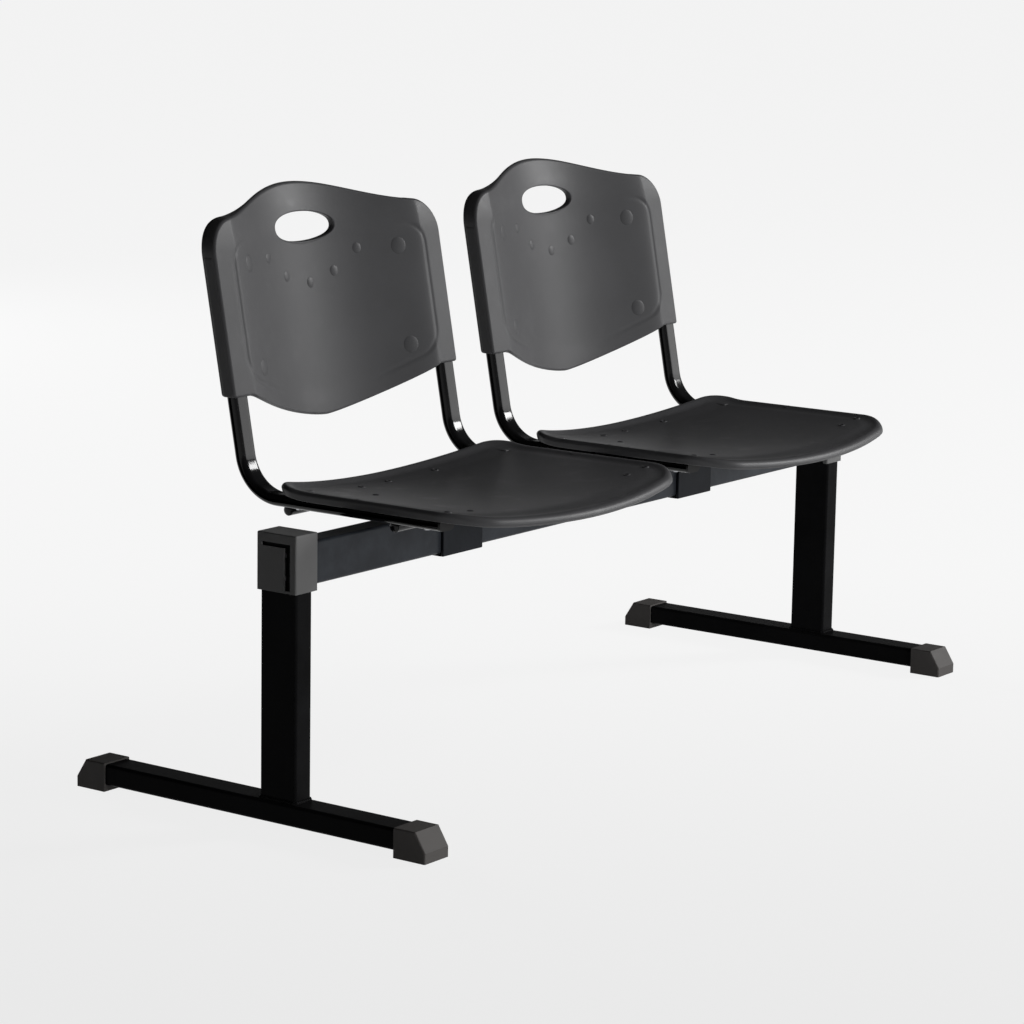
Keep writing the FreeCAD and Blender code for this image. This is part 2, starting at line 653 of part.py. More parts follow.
def foot_cap(side, end):
    """Wedge-nosed moulded cap: stands on the floor, its spigot plugs the foot tube."""
    tip = FOOT_LENGTH / 2.0
    root = tip - FOOT_CAP_LENGTH
    knee = FOOT_CAP_HEIGHT * 0.36
    corners = [V(0, root, 0), V(0, tip, 0), V(0, tip, knee), V(0, tip - FOOT_CAP_NOSE, FOOT_CAP_HEIGHT),
               V(0, root, FOOT_CAP_HEIGHT), V(0, root, 0)]
    profile = Part.makePolygon(corners)
    cap = at(Part.Face(profile).extrude(V(FOOT_CAP_WIDTH, 0, 0)), -FOOT_CAP_WIDTH / 2.0, 0, 0)
    long_edges = [e for e in cap.Edges if e.BoundBox.XLength < 1e-6 and e.BoundBox.ZMax > knee * 0.5
                  and not (abs(e.BoundBox.YMin - root) < 1e-6 and e.BoundBox.YLength < 1e-6)]
    cap = cap.makeFillet(2.0, long_edges)
    inner_width = FOOT_WIDTH - 2 * FOOT_WALL
    inner_height = FOOT_HEIGHT - 2 * FOOT_WALL
    spigot = hollow_bar(inner_width, inner_height, 3.0, FOOT_CORNER - FOOT_WALL, SPIGOT_LENGTH)
    spigot = at(along_y(spigot), 0, root - SPIGOT_LENGTH, FOOT_CLEARANCE + FOOT_HEIGHT / 2.0)
    cap = cap.fuse(spigot)
    if end < 0:
        cap = cap.mirror(V(0, 0, 0), V(0, 1, 0))
    return at(cap, side * POST_X, 0, 0)


def joint_cover(side):
    """Moulded cover over the post's top and the beam's end, open below and towards the beam."""
    outer_x = POST_WIDTH / 2.0 + LEG_BOLT * 0.25 + COVER_WALL
    inner_x = COVER_LENGTH - outer_x
    front = POST_Y - POST_DEPTH / 2.0 - COVER_GAP
    rear = POST_Y + POST_DEPTH / 2.0 + COVER_GAP
    low = BEAM_BOTTOM - COVER_BELOW_BEAM
    high = BEAM_TOP + COVER_TOP
    body = box(-outer_x, inner_x, front - COVER_WALL, rear + COVER_WALL, low, high)
    rounded = [e for e in body.Edges if e.BoundBox.ZLength > 1 or e.BoundBox.ZMin > high - 1e-6]
    body = body.makeFillet(2.0, rounded)
    hollow = box(-outer_x + COVER_WALL, inner_x + 1, front, rear, low - 1, high - COVER_WALL)
    body = body.cut(hollow)
    inner_wall = box(inner_x - COVER_WALL, inner_x, front - COVER_WALL * 0.5, rear + COVER_WALL * 0.5,
                     low, high - COVER_WALL * 0.5)
    beam_gap = END_PLATE_MARGIN + COVER_GAP
    slot = box(inner_x - COVER_WALL - 1, inner_x + 1, BEAM_FRONT - COVER_GAP, BEAM_REAR + COVER_GAP,
               low - 1, BEAM_TOP + COVER_GAP)
    body = body.fuse(inner_wall.cut(slot))
    slot_front = front - COVER_WALL + COVER_SLOT_INSET
    slot_rear = slot_front + COVER_SLOT
    slot_top = high - COVER_SLOT_DROP
    wall_x = -outer_x + COVER_WALL
    sill = slot_top - COVER_SLOT_TOP
    panel_rear = rear + COVER_WALL - COVER_SLOT_REAR
    body = body.cut(box(-outer_x - 1, wall_x, slot_front, slot_rear, low + COVER_FOOT, slot_top))
    body = body.cut(box(-outer_x - 1, wall_x, slot_front, panel_rear, sill, slot_top))
    body = body.fuse(box(-outer_x + 0.5 * COVER_WALL, -POST_WIDTH / 2.0 - COVER_GAP, slot_rear,
                         slot_rear + COVER_RIB, low + COVER_FOOT, sill))
    body = at(body, -POST_X, 0, 0)
    if side > 0:
        body = body.mirror(V(0, 0, 0), V(1, 0, 0))
    return body


def seat_stations():
    """X of each seat's middle."""
    return (SEAT_SHIFT - SEAT_PITCH / 2.0, SEAT_SHIFT + SEAT_PITCH / 2.0)


def main():
    os.makedirs(PARTS, exist_ok=True)
    save("beam", beam())
    for side, word in ((-1, "left"), (1, "right")):
        save("end_plate_" + word, end_plate(side))
        save("leg_bolts_" + word, leg_bolts(side))
        save("post_" + word, post(side))
        save("foot_tube_" + word, foot_tube(side))
        save("foot_cap_front_" + word, foot_cap(side, -1))
        save("foot_cap_rear_" + word, foot_cap(side, 1))
        save("joint_cover_" + word, joint_cover(side))
    pieces = {
        "saddle": saddle(), "keeper_plate": keeper_plate(), "clamp_bolts": clamp_bolts(),
        "cross_tube_front": cross_tube(CROSS_FRONT_Y), "cross_tube_rear": cross_tube(CROSS_REAR_Y),
        "cross_tube_plugs": cross_plugs(), "side_tube_left": side_tube(-1), "side_tube_right": side_tube(1),
        "side_tube_plugs": side_plugs(), "seat_shell": seat_shell(), "seat_screws": seat_screws(),
        "backrest": backrest(), "backrest_screws": back_screws()}
    for number, station in enumerate(seat_stations(), 1):
        for name, shape in pieces.items():
            save("%s_%d" % (name, number), at(shape, station, 0, 0))


main()
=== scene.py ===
"""Two-seat beam bench: moulded shells, bent tubes, finishes and stage."""

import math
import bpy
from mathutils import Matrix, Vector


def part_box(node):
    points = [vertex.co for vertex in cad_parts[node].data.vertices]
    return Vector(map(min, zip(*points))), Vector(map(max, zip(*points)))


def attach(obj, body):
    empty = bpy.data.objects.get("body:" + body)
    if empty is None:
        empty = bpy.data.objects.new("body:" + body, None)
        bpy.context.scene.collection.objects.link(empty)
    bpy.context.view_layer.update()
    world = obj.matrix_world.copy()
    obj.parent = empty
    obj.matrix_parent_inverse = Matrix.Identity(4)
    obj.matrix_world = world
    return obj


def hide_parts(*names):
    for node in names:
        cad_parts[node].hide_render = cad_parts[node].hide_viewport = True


bl_info = {
    "name": "Beam bench looks",
    "version": (1, 0, 0),
    "blender": (4, 5, 0),
    "location": "3D View > Sidebar > Bench",
    "description": "Dresses a two-seat beam bench with moulded shells, bent tubes and finishes",
    "category": "Object",
}

import bpy
import numpy as np
from bpy.props import FloatProperty, FloatVectorProperty, PointerProperty
from mathutils import Matrix, Vector

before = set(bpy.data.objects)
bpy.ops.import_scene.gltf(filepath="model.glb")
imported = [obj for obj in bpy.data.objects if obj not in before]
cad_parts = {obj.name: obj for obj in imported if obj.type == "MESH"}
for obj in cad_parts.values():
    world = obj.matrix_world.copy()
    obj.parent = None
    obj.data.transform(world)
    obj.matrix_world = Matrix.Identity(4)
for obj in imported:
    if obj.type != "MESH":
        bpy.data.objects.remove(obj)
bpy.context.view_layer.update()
SEATS = (1, 2)
SIDES = ("left", "right")
MM = 0.001


def extent(node):
    """Lowest and highest corner of a node as two arrays."""
    low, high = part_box(node)
    return np.array(low), np.array(high)


# Surfaces


def smooth(value, low, high):
    """0 below low, 1 above high, and 3t^2 - 2t^3 between."""
    t = np.clip((value - low) / (high - low), 0.0, 1.0)
    return t * t * (3.0 - 2.0 * t)


def bump(value, centre, width):
    """Bell curve exp(-((v - c) / w)^2)."""
    return np.exp(-(((value - centre) / width) ** 2))


def resample(outline, count):
    """Points at equal steps along a closed outline, by interpolating over its running length."""
    closed = np.vstack([outline, outline[:1]])
    run = np.concatenate([[0.0], np.cumsum(np.linalg.norm(np.diff(closed, axis=0), axis=1))])
    at = np.linspace(0.0, run[-1], count, endpoint=False)
    return np.stack([np.interp(at, run, closed[:, k]) for k in range(2)], axis=-1)


def outward(outline):
    """Unit normals of a counter-clockwise outline: its central difference turned by a quarter."""
    step = np.roll(outline, -1, axis=0) - np.roll(outline, 1, axis=0)
    normal = np.stack([step[:, 1], -step[:, 0]], axis=-1)
    return normal / np.linalg.norm(normal, axis=1, keepdims=True)


def rounded_polygon(corners, radii, arc=6):
    """Counter-clockwise outline with an arc at each corner.

    The arc of radius r starts r*tan(turn/2) before the corner, and a shoulder point just outside
    each end keeps the flats flat.
    """
    corners = np.array(corners, float)
    points = []
    for k, corner in enumerate(corners):
        back = corners[k - 1] - corner
        ahead = corners[(k + 1) % len(corners)] - corner
        back /= np.linalg.norm(back)
        ahead /= np.linalg.norm(ahead)
        radius = radii[k] if np.ndim(radii) else radii
        half = math.acos(np.clip(np.dot(back, ahead), -1, 1)) / 2.0
        reach = radius / math.tan(half)
        middle = corner + (back + ahead) / np.linalg.norm(back + ahead) * radius / math.sin(half)
        start = corner + back * reach
        end = corner + ahead * reach
        first = np.arctan2(*(start - middle)[::-1])
        sweep = (np.arctan2(*(end - middle)[::-1]) - first + math.pi) % (2 * math.pi) - math.pi
        angle = first + sweep * np.linspace(0, 1, arc)
        curve = middle + radius * np.stack([np.cos(angle), np.sin(angle)], axis=-1)
        shoulder = 0.25 * radius
        points += [start + back * shoulder, *curve, end + ahead * shoulder]
    return np.array(points)


def rectangle(width, height, radius, arc=6):
    """Outline of a rounded rectangle about the origin."""
    a, b = width / 2.0, height / 2.0
    return rounded_polygon([(-a, -b), (a, -b), (a, b), (-a, b)], radius, arc)


def skin(rings, loop=False):
    """Vertices and faces of a closed surface: quads from ring to ring, flat faces over the end rings.

    With loop, the last ring joins the first as on a torus.
    """
    count = rings.shape[1]
    index = np.arange(rings.shape[0] * count).reshape(-1, count)
    ahead = np.roll(index, -1, axis=1)
    if loop:
        index, ahead = np.vstack([index, index[:1]]), np.vstack([ahead, ahead[:1]])
    quads = np.stack([index[:-1], ahead[:-1], ahead[1:], index[1:]], axis=-1).reshape(-1, 4)
    points = rings.reshape(-1, 3)
    a, b, c, d = (points[quads[:, k]] - points.mean(axis=0) for k in range(4))
    volume = np.einsum("ij,ij->", a, np.cross(b, c)) + np.einsum("ij,ij->", a, np.cross(c, d))
    faces = quads.tolist()
    if not loop:
        faces += [index[0][::-1].tolist(), index[-1].tolist()]
    if volume < 0:
        faces = [face[::-1] for face in faces]
    return points, faces


def piece(name, skins, finish, nodes):
    """One object from several skins, riding on the bench and standing for its nodes."""
    points, faces, start = [], [], 0
    for vertices, polygons in skins:
        points.append(vertices)
        faces += [[k + start for k in polygon] for polygon in polygons]
        start += len(vertices)
    mesh = bpy.data.meshes.new(name)
    mesh.from_pydata(np.vstack(points).tolist(), [], faces)
    mesh.shade_smooth()
    mesh.materials.append(finish)
    made = bpy.data.objects.new(name, mesh)
    bpy.context.scene.collection.objects.link(made)
    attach(made, "root")
    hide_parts(*nodes)


def round_ends(length, radius, steps=5):
    """Places along a bar and the inset of its outline there, for ends rounded by a quarter circle."""
    angle = np.linspace(0, math.pi / 2, steps)
    place = radius * (1 - np.cos(angle))
    inset = radius * (1 - np.sin(angle))
    flat = 0.25 * radius
    places = np.concatenate([place, [radius + flat, length - radius - flat], (length - place)[::-1]])
    insets = np.concatenate([inset, [0, 0], inset[::-1]])
    return places, insets


def bar(outline, start, across, upward, along, length, radius):
    """Outline carried along a straight line, its ends rounded; the outline shrinks by the inset there."""
    places, insets = round_ends(length, radius)
    normal = outward(outline)
    flat = outline[None] - normal[None] * insets[:, None, None]
    across, upward, along = (np.array(v, float) for v in (across, upward, along))
    rings = (np.array(start, float) + flat[..., :1] * across + flat[..., 1:] * upward
             + places[:, None, None] * along)
    return skin(rings)


X, Y, Z = (1, 0, 0), (0, 1, 0), (0, 0, 1)


# Finishes


class Wire:
    """A socket that takes part in arithmetic: each operator adds its Math node."""

    def __init__(self, finish, socket):
        self.finish = finish
        self.socket = socket

    def math(self, operation, *others):
        """This socket and the others through one Math node."""
        values = dict(enumerate((self, *others)))
        return self.finish.node("ShaderNodeMath", {"operation": operation}, values)

    def __add__(self, other):
        return self.math("ADD", other)

    __radd__ = __add__

    def __sub__(self, other):
        return self.math("SUBTRACT", other)

    def __rsub__(self, other):
        return (self * -1.0) + other

    def __mul__(self, other):
        return self.math("MULTIPLY", other)

    __rmul__ = __mul__

    def over(self, low, high):
        """0 at low, 1 at high, held between."""
        values = {"Value": self, "From Min": low, "From Max": high}
        return self.finish.node("ShaderNodeMapRange", {"interpolation_type": "SMOOTHSTEP"}, values)


class Finish:
    """A material, or the world, being put together."""

    def __init__(self, name, world=False):
        self.made = bpy.data.worlds.new(name) if world else bpy.data.materials.new(name)
        self.made.use_nodes = True
        self.tree = self.made.node_tree
        self.tree.nodes.clear()
        self.place = self.node("ShaderNodeTexCoord", output="Generated" if world else "Object")

    def node(self, kind, settings=None, values=None, output=0):
        """Any node: its settings first, then the values or links of its sockets."""
        made = self.tree.nodes.new(kind)
        for key, value in (settings or {}).items():
            setattr(made, key, value)
        for key, value in (values or {}).items():
            if isinstance(value, Wire):
                self.tree.links.new(value.socket, made.inputs[key])
            elif isinstance(value, tuple) and len(value) == 3 and made.inputs[key].type == "RGBA":
                made.inputs[key].default_value = (*value, 1.0)
            else:
                made.inputs[key].default_value = value
        return Wire(self, made.outputs[output])

    def noise(self, scale, detail, roughness=0.5):
        """Noise over the object, about 0.5 in the middle."""
        values = {"Vector": self.place, "Scale": scale, "Detail": detail, "Roughness": roughness}
        return self.node("ShaderNodeTexNoise", None, values)

    def blend(self, factor, first, second):
        """Colour between two colours."""
        return self.node("ShaderNodeMix", {"data_type": "RGBA"}, {0: factor, 6: first, 7: second}, output=2)

    def relief(self, height, distance, strength):
        """Normal bent by a height field."""
        return self.node("ShaderNodeBump", None,
                         {"Height": height, "Distance": distance, "Strength": strength})

    def surface(self, **values):
        """Close the material with one shader."""
        named = {key.replace("_", " "): value for key, value in values.items()}
        return self.close(self.node("ShaderNodeBsdfPrincipled", None, named))

    def close(self, shader, end="ShaderNodeOutputMaterial"):
        """Link the last shader to the output."""
        self.tree.links.new(shader.socket, self.tree.nodes.new(end).inputs["Surface"])
        return self.made

    def rays(self):
        """Two sockets, 1 for rays from the camera or through glass, and 1 for rays in reflections."""
        camera = self.node("ShaderNodeLightPath", output="Is Camera Ray")
        gloss, clear = (Wire(self, camera.socket.node.outputs[name])
                        for name in ("Is Glossy Ray", "Is Transmission Ray"))
        return camera.math("MAXIMUM", clear), gloss


def toned(colour, share):
    """Colour times a share."""
    return tuple(channel * share for channel in colour)


def moulded(name, colour, roughness, grain, depth, level):
    """Moulded plastic: spark-eroded grain, faint clouding of the colour and a few polished patches."""
    finish = Finish(name)
    cloud = finish.noise(9.0, 3.0)
    speck = finish.noise(grain, 2.0, 0.7)
    rub = finish.noise(24.0, 5.0, 0.62).over(0.52, 0.74)
    tone = finish.blend(cloud.over(0.3, 0.7), toned(colour, 0.93), toned(colour, 1.07))
    tone = finish.blend(rub * 0.22, tone, toned(colour, 1.22))
    rough = roughness + (speck - 0.5) * 0.16 - rub * 0.05
    return finish.surface(Base_Color=tone, Roughness=rough, Specular_IOR_Level=level,
                          Normal=finish.relief(speck, depth, 0.6))


def powder_coat(name, colour, roughness, level, strength):
    """Baked powder paint: orange-peel relief and a faint bloom."""
    finish = Finish(name)
    peel = finish.noise(520.0, 1.5, 0.5)
    bloom = finish.noise(14.0, 4.0, 0.6)
    tone = finish.blend(bloom.over(0.35, 0.7), toned(colour, 0.78), toned(colour, 1.28))
    rough = roughness * (0.8 + bloom * 0.3 + peel * 0.1)
    return finish.surface(Base_Color=tone, Roughness=rough, Specular_IOR_Level=level,
                          Normal=finish.relief(peel, 0.00012, strength))


def plated(name, colour, roughness):
    """Zinc-plated steel: mottled grey metal."""
    finish = Finish(name)
    mottle = finish.noise(300.0, 3.0, 0.6)
    tone = finish.blend(mottle, toned(colour, 0.8), colour)
    return finish.surface(Base_Color=tone, Roughness=roughness + (mottle - 0.5) * 0.2, Metallic=1.0,
                          Normal=finish.relief(mottle, 0.00005, 0.4))


# Settings


def metres(name, description, default):
    """A length."""
    return FloatProperty(name=name, description=description, default=default, unit="LENGTH")


def watts(name, description, default):
    """A lamp's power."""
    return FloatProperty(name=name, description=description, default=default, min=0.0, unit="POWER")


def tint(name, description, default):
    """A linear colour."""
    return FloatVectorProperty(name=name, description=description, default=default, size=3,
                               min=0.0, max=1.0, subtype="COLOR")


class BenchSeatSettings(bpy.types.PropertyGroup):
    rim: metres("Rim", "Height of the seat's side rims above the floor", 398 * MM)
    rear_bow: metres("Rear bow", "How far the rear edge bulges at its middle", 27 * MM)
    front_bow: metres("Front bow", "How far the front edge bulges at its middle", 32 * MM)
    corner: metres("Front corner", "Radius of the seat's front corners in plan", 56 * MM)
    rear_corner: metres("Rear corner", "Radius of the seat's rear corners in plan", 36 * MM)
    dish: metres("Dish", "Depth of the seat's hollow under its side rims", 21 * MM)
    front_rise: metres("Front rise", "Rise of the hollow's middle towards the front", 10 * MM)
    lip_drop: metres("Lip drop", "Drop of the rolled front lip", 9 * MM)
    lip_reach: metres("Lip reach", "Length over which the front lip rolls down", 46 * MM)
    rear_rise: metres("Rear rise", "Rise of the rear edge's middle, half more at its corners", 7 * MM)
    rear_reach: metres("Rear reach", "Length over which the rear edge rises", 55 * MM)
    edge: metres("Edge", "Radius of the seat's side and rear edges", 5 * MM)
    front_edge: metres("Front edge", "Radius of the seat's rolled front edge", 9.5 * MM)
    wall: metres("Wall", "Thickness of the moulding", 3.5 * MM)
    skirt: metres("Skirt", "Depth of the skirt round the seat", 11 * MM)


class BenchBackSettings(bpy.types.PropertyGroup):
    lean: FloatProperty(name="Lean", description="Angle of the side tubes' upright stretch",
                        default=math.radians(10.8), subtype="ANGLE")
    bow: metres("Bow", "How far the lower edge hangs at its middle", 50 * MM)
    hump: metres("Hump", "Rise of the upper edge over its shoulders", 27 * MM)
    hump_half: metres("Hump half width", "Half width of the rise in the upper edge", 195 * MM)
    corner: metres("Corner", "Radius of the upper corners", 46 * MM)
    hollow: metres("Hollow", "Depth of the hollow across the back", 47 * MM)
    band: metres("Band", "Width of the flat band over each side tube", 40 * MM)
    curl: metres("Curl", "How far the upper edge curls backwards", 9 * MM)
    curl_from: metres("Curl from", "Height above the floor where the curl begins", 682 * MM)
    wall: metres("Wall", "Thickness of the moulding", 4 * MM)
    sleeve_wall: metres("Sleeve wall", "Wall in front of the side tubes", 3.5 * MM)
    flange: metres("Flange", "Depth of the side flanges", 22 * MM)
    hole_width: metres("Hole width", "Width of the hand hole", 118 * MM)
    hole_height: metres("Hole height", "Height of the hand hole", 38 * MM)
    hole_z: metres("Hole height above floor", "Middle of the hand hole above the floor", 693 * MM)


class BenchFrameSettings(bpy.types.PropertyGroup):
    tube_wide: metres("Tube width", "Width of the flat-oval side tubes", 30 * MM)
    tube_deep: metres("Tube depth", "Depth of the flat-oval side tubes", 15 * MM)
    bend: metres("Bend", "Radius of the side tubes' bend", 60 * MM)
    bar_corner: metres("Corner", "Corner radius of the rectangular tubes", 4 * MM)
    weld: metres("Weld", "Radius of the weld beads", 2.6 * MM)


class BenchColourSettings(bpy.types.PropertyGroup):
    shell: tint("Shell plastic", "Black moulded plastic of seats and backrests", (0.067, 0.067, 0.070))
    cap: tint("Cap plastic", "Dark grey plastic of the foot caps", (0.086, 0.081, 0.078))
    cover: tint("Cover plastic", "Grey plastic of the joint covers", (0.16, 0.16, 0.16))
    plug: tint("Plug plastic", "Black plastic of the tube plugs", (0.01, 0.01, 0.01))
    paint: tint("Frame paint", "Black powder paint of the frame", (0.008, 0.008, 0.0085))
    beam: tint("Beam paint", "Blue-black paint of the beam", (0.035, 0.039, 0.046))
    saddle: tint("Saddle paint", "Blue-black paint of the saddles", (0.014, 0.016, 0.020))
    zinc: tint("Zinc", "Plated fasteners", (0.5, 0.51, 0.53))


class BenchStageSettings(bpy.types.PropertyGroup):
    lens: FloatProperty(name="Lens", description="Focal length in millimetres on a 36 mm sensor",
                        default=118.0)
    azimuth: FloatProperty(name="Azimuth", description="Camera's turn round the bench",
                           default=math.radians(-54.2), subtype="ANGLE")
    elevation: FloatProperty(name="Elevation", description="Camera's angle above the horizon",
                             default=math.radians(10.55), subtype="ANGLE")
    roll: FloatProperty(name="Roll", description="Camera's roll", default=math.radians(0.99), subtype="ANGLE")
    camera: FloatVectorProperty(name="Camera", description="Camera's place", size=3, unit="LENGTH",
                                default=(-3.668, -2.574, 1.131))
    front: watts("Front light", "Power of the low front lamp", 120.0)
    side: watts("Side light", "Power of the low strip at the right", 31.0)
    high: watts("High light", "Power of the far high lamp", 315.0)
    fill: watts("Fill light", "Power of the low left lamp", 2.0)
    rear: watts("Rear light", "Power of the low lamp behind", 110.0)
    sky: FloatProperty(name="Sky", description="Strength of the even light all round", default=0.02)
    backdrop: FloatProperty(name="Backdrop", description="Tone of the surround to the camera", default=0.93)
    horizon: FloatProperty(name="Horizon", description="Tone of the horizon in reflections", default=0.75)
    zenith: FloatProperty(name="Zenith", description="Tone overhead in reflections", default=0.02)
    # Floor near and floor far: the two ends of a falloff of light painted across the floor
    floor_near: FloatProperty(name="Floor near", description="Tone of the floor in front", default=0.87)
    floor_far: FloatProperty(name="Floor far", description="Tone of the floor behind", default=0.99)


# Each finish: its maker, its colour setting and the maker's other values. Moulded plastic takes
# roughness, grain scale, grain depth and specular level; powder coat takes roughness, specular
# level and the strength of its orange peel; zinc plate takes roughness. Parts without a finish
# of their own have the frame paint.
FINISHES = {
    "shell plastic": (moulded, "shell", 0.43, 1500.0, 0.00012, 0.22),
    "cap plastic": (moulded, "cap", 0.62, 1100.0, 0.0002, 0.2),
    "cover plastic": (moulded, "cover", 0.58, 1300.0, 0.00018, 0.2),
    "plug plastic": (moulded, "plug", 0.5, 1300.0, 0.0001, 0.2),
    "zinc plate": (plated, "zinc", 0.36),
    "beam paint": (powder_coat, "beam", 0.34, 0.1, 0.5),
    "tube paint": (powder_coat, "paint", 0.11, 0.2, 0.25),
    "saddle paint": (powder_coat, "saddle", 0.34, 0.06, 0.5),
    "frame paint": (powder_coat, "paint", 0.34, 0.015, 0.5),
}
PART_FINISHES = {"joint_cover": "cover plastic", "foot_cap": "cap plastic", "side_tube_plugs": "plug plastic",
                 "cross_tube_plugs": "plug plastic", "leg_bolts": "zinc plate", "clamp_bolts": "zinc plate",
                 "seat_screws": "zinc plate", "backrest_screws": "zinc plate"}


def finish_of(kind):
    """A named finish, made on first use from the colour settings."""
    made = bpy.data.materials.get(kind)
    if made:
        return made
    maker, tone, *values = FINISHES[kind]
    return maker(kind, tuple(getattr(bpy.context.scene.bench_colours, tone)), *values)


# Seats

# Bead along the seat's rim and the channel inside it: height, distance from the edge, width
RIM_BEAD = (1.1 * MM, 8 * MM, 5 * MM)
RIM_CHANNEL = (0.8 * MM, 21 * MM, 8 * MM)

# Pads under the seat: their side, and their places behind the side tubes' front ends
PAD_SIZE = 26 * MM
PAD_PLACES = (27 * MM, 225 * MM)


def seat_outline(low, high, s, count=360):
    """Rounded rectangle whose front and rear edges bulge by a parabola bow*(1 - (x/a)^2)."""
    middle = (low[0] + high[0]) / 2.0
    half = (high[0] - low[0]) / 2.0
    deep = (high[1] - low[1]) / 2.0
    corners = [(-half, -deep), (half, -deep), (half, deep), (-half, deep)]
    flat = resample(rounded_polygon(corners, [s.corner, s.corner, s.rear_corner, s.rear_corner], 24), count)
    bulge = 1.0 - (flat[:, 0] / half) ** 2
    share = (flat[:, 1] / deep + 1.0) / 2.0
    front = low[1] + s.front_bow * (1 - bulge)
    rear = high[1] - s.rear_bow * (1 - bulge)
    y = front + (rear - front) * share
    return resample(np.stack([middle + flat[:, 0], y], axis=-1), count)


def seat_height(x, y, low, high, s):
    """Seat's top face.

    Between the rims it is hollow by |x|^1.9 and rises to the front by t^3; from the front edge the
    lip falls by u^2, less towards the corners, and the rear edge rises by u^2.
    """
    half = (high[0] - low[0]) / 2.0
    across = np.abs(x - (low[0] + high[0]) / 2.0) / half
    inner = np.minimum(across, 1.0)
    forward = np.clip((high[1] - y) / (high[1] - low[1]), 0, 1.15)
    middle = s.rim - s.dish + s.front_rise * forward ** 3
    height = middle + (s.rim - middle) * np.minimum(across, 1.08) ** 1.9
    front = low[1] + s.front_bow * inner ** 2
    rear = high[1] - s.rear_bow * inner ** 2
    lip = np.clip((front + s.lip_reach - y) / s.lip_reach, 0, 1.3)
    curl = np.clip((y - rear + s.rear_reach) / s.rear_reach, 0, 1.3)
    rise = s.rear_rise * (1 + 0.5 * inner ** 4) * curl ** 2
    return height - s.lip_drop * (1 - 0.75 * inner ** 2) * lip ** 2 + rise


def seat_skin(low, high, s):
    """Seat as rings from the middle of its top over the rim and skirt to the middle of its underside."""
    outline = seat_outline(low, high, s)
    normal = outward(outline)
    centre = outline.mean(axis=0)

    def top(points, gap):
        """Top face plus the bead along the rim and minus the channel inside it."""
        z = seat_height(points[:, 0], points[:, 1], low, high, s)
        return z + RIM_BEAD[0] * bump(gap, *RIM_BEAD[1:]) - RIM_CHANNEL[0] * bump(gap, *RIM_CHANNEL[1:])

    rings = []
    edge = s.edge + (s.front_edge - s.edge) * smooth(-normal[:, 1], 0.35, 0.9)
    inner = outline - normal * edge[:, None]
    spoke = inner - centre
    facing = np.abs(np.sum(spoke * normal, axis=1))
    for share in 1.0 - (1.0 - np.linspace(0.02, 1.0, 90)) ** 1.4:
        plan = centre + spoke * share
        gap = (1.0 - share) * facing + edge
        rings.append(np.column_stack([plan, top(plan, gap)]))
    rim = top(inner, edge)
    for angle in np.linspace(0, math.pi / 2, 11)[1:]:
        plan = inner + normal * edge[:, None] * math.sin(angle)
        rings.append(np.column_stack([plan, rim - edge * (1 - math.cos(angle))]))
    foot = rim - s.skirt
    draft = 1.5 * MM
    for share in (0.15, 0.5, 0.85, 1.0):
        drop = edge + (s.skirt - edge) * share
        rings.append(np.column_stack([outline - normal * draft * share, rim - drop]))
    half_wall = s.wall / 2.0
    for angle in np.linspace(0, math.pi, 6)[1:]:
        plan = outline - normal * (draft + half_wall * (1 - math.cos(angle)))
        rings.append(np.column_stack([plan, foot - half_wall * 0.6 * math.sin(angle)]))
    inside = outline - normal * (draft + s.wall)
    roof = seat_height(inside[:, 0], inside[:, 1], low, high, s) - s.wall
    for share in (0.1, 0.5, 0.9, 1.0):
        rings.append(np.column_stack([inside, foot + (roof - foot) * share]))
    for share in np.linspace(0.98, 0.02, 24):
        plan = centre + (inside - centre) * share
        rings.append(np.column_stack([plan, seat_height(plan[:, 0], plan[:, 1], low, high, s) - s.wall]))
    return skin(np.array(rings))


def seat_pads(number, low, high, s, tube_deep):
    """Four square pads between the shell and the side tubes."""
    skins = []
    for side in SIDES:
        near, far = extent("side_tube_%s_%d" % (side, number))
        x = (near[0] + far[0]) / 2.0
        floor = near[2] + tube_deep
        for y in near[1] + np.array(PAD_PLACES):
            height = seat_height(x, y, low, high, s) - s.wall * 0.6 - floor
            skins.append(bar(rectangle(PAD_SIZE, PAD_SIZE, 2 * MM), (x, y, floor), X, Y, Z, height, 0.6 * MM))
    return skins


# Backrests

# Panel in the backrest's front face: corner radius, distance from the sides and from the lower
# edge, depth, and the depth and half width of the groove round it
PANEL_CORNER = 26 * MM
PANEL_SIDE = 35 * MM
PANEL_FOOT = 24 * MM
PANEL_DEPTH = 0.6 * MM
GROOVE_DEPTH = 0.9 * MM
GROOVE_HALF = 2.6 * MM

# Backrest's flange at the middle of its upper and lower edges and its wall, the rounding of the
# front rim, of the sleeves' feet and of the hand hole, and the collar behind the hand hole
UPPER_FLANGE = 7 * MM
LOWER_FLANGE = 6 * MM
FLANGE_WALL = 3.2 * MM
FRONT_EDGE = 3.4 * MM
FOOT_CORNER = 3.6 * MM
HOLE_EDGE = 2.0 * MM
COLLAR_WALL = 3.0 * MM
COLLAR_DEPTH = 8.6 * MM


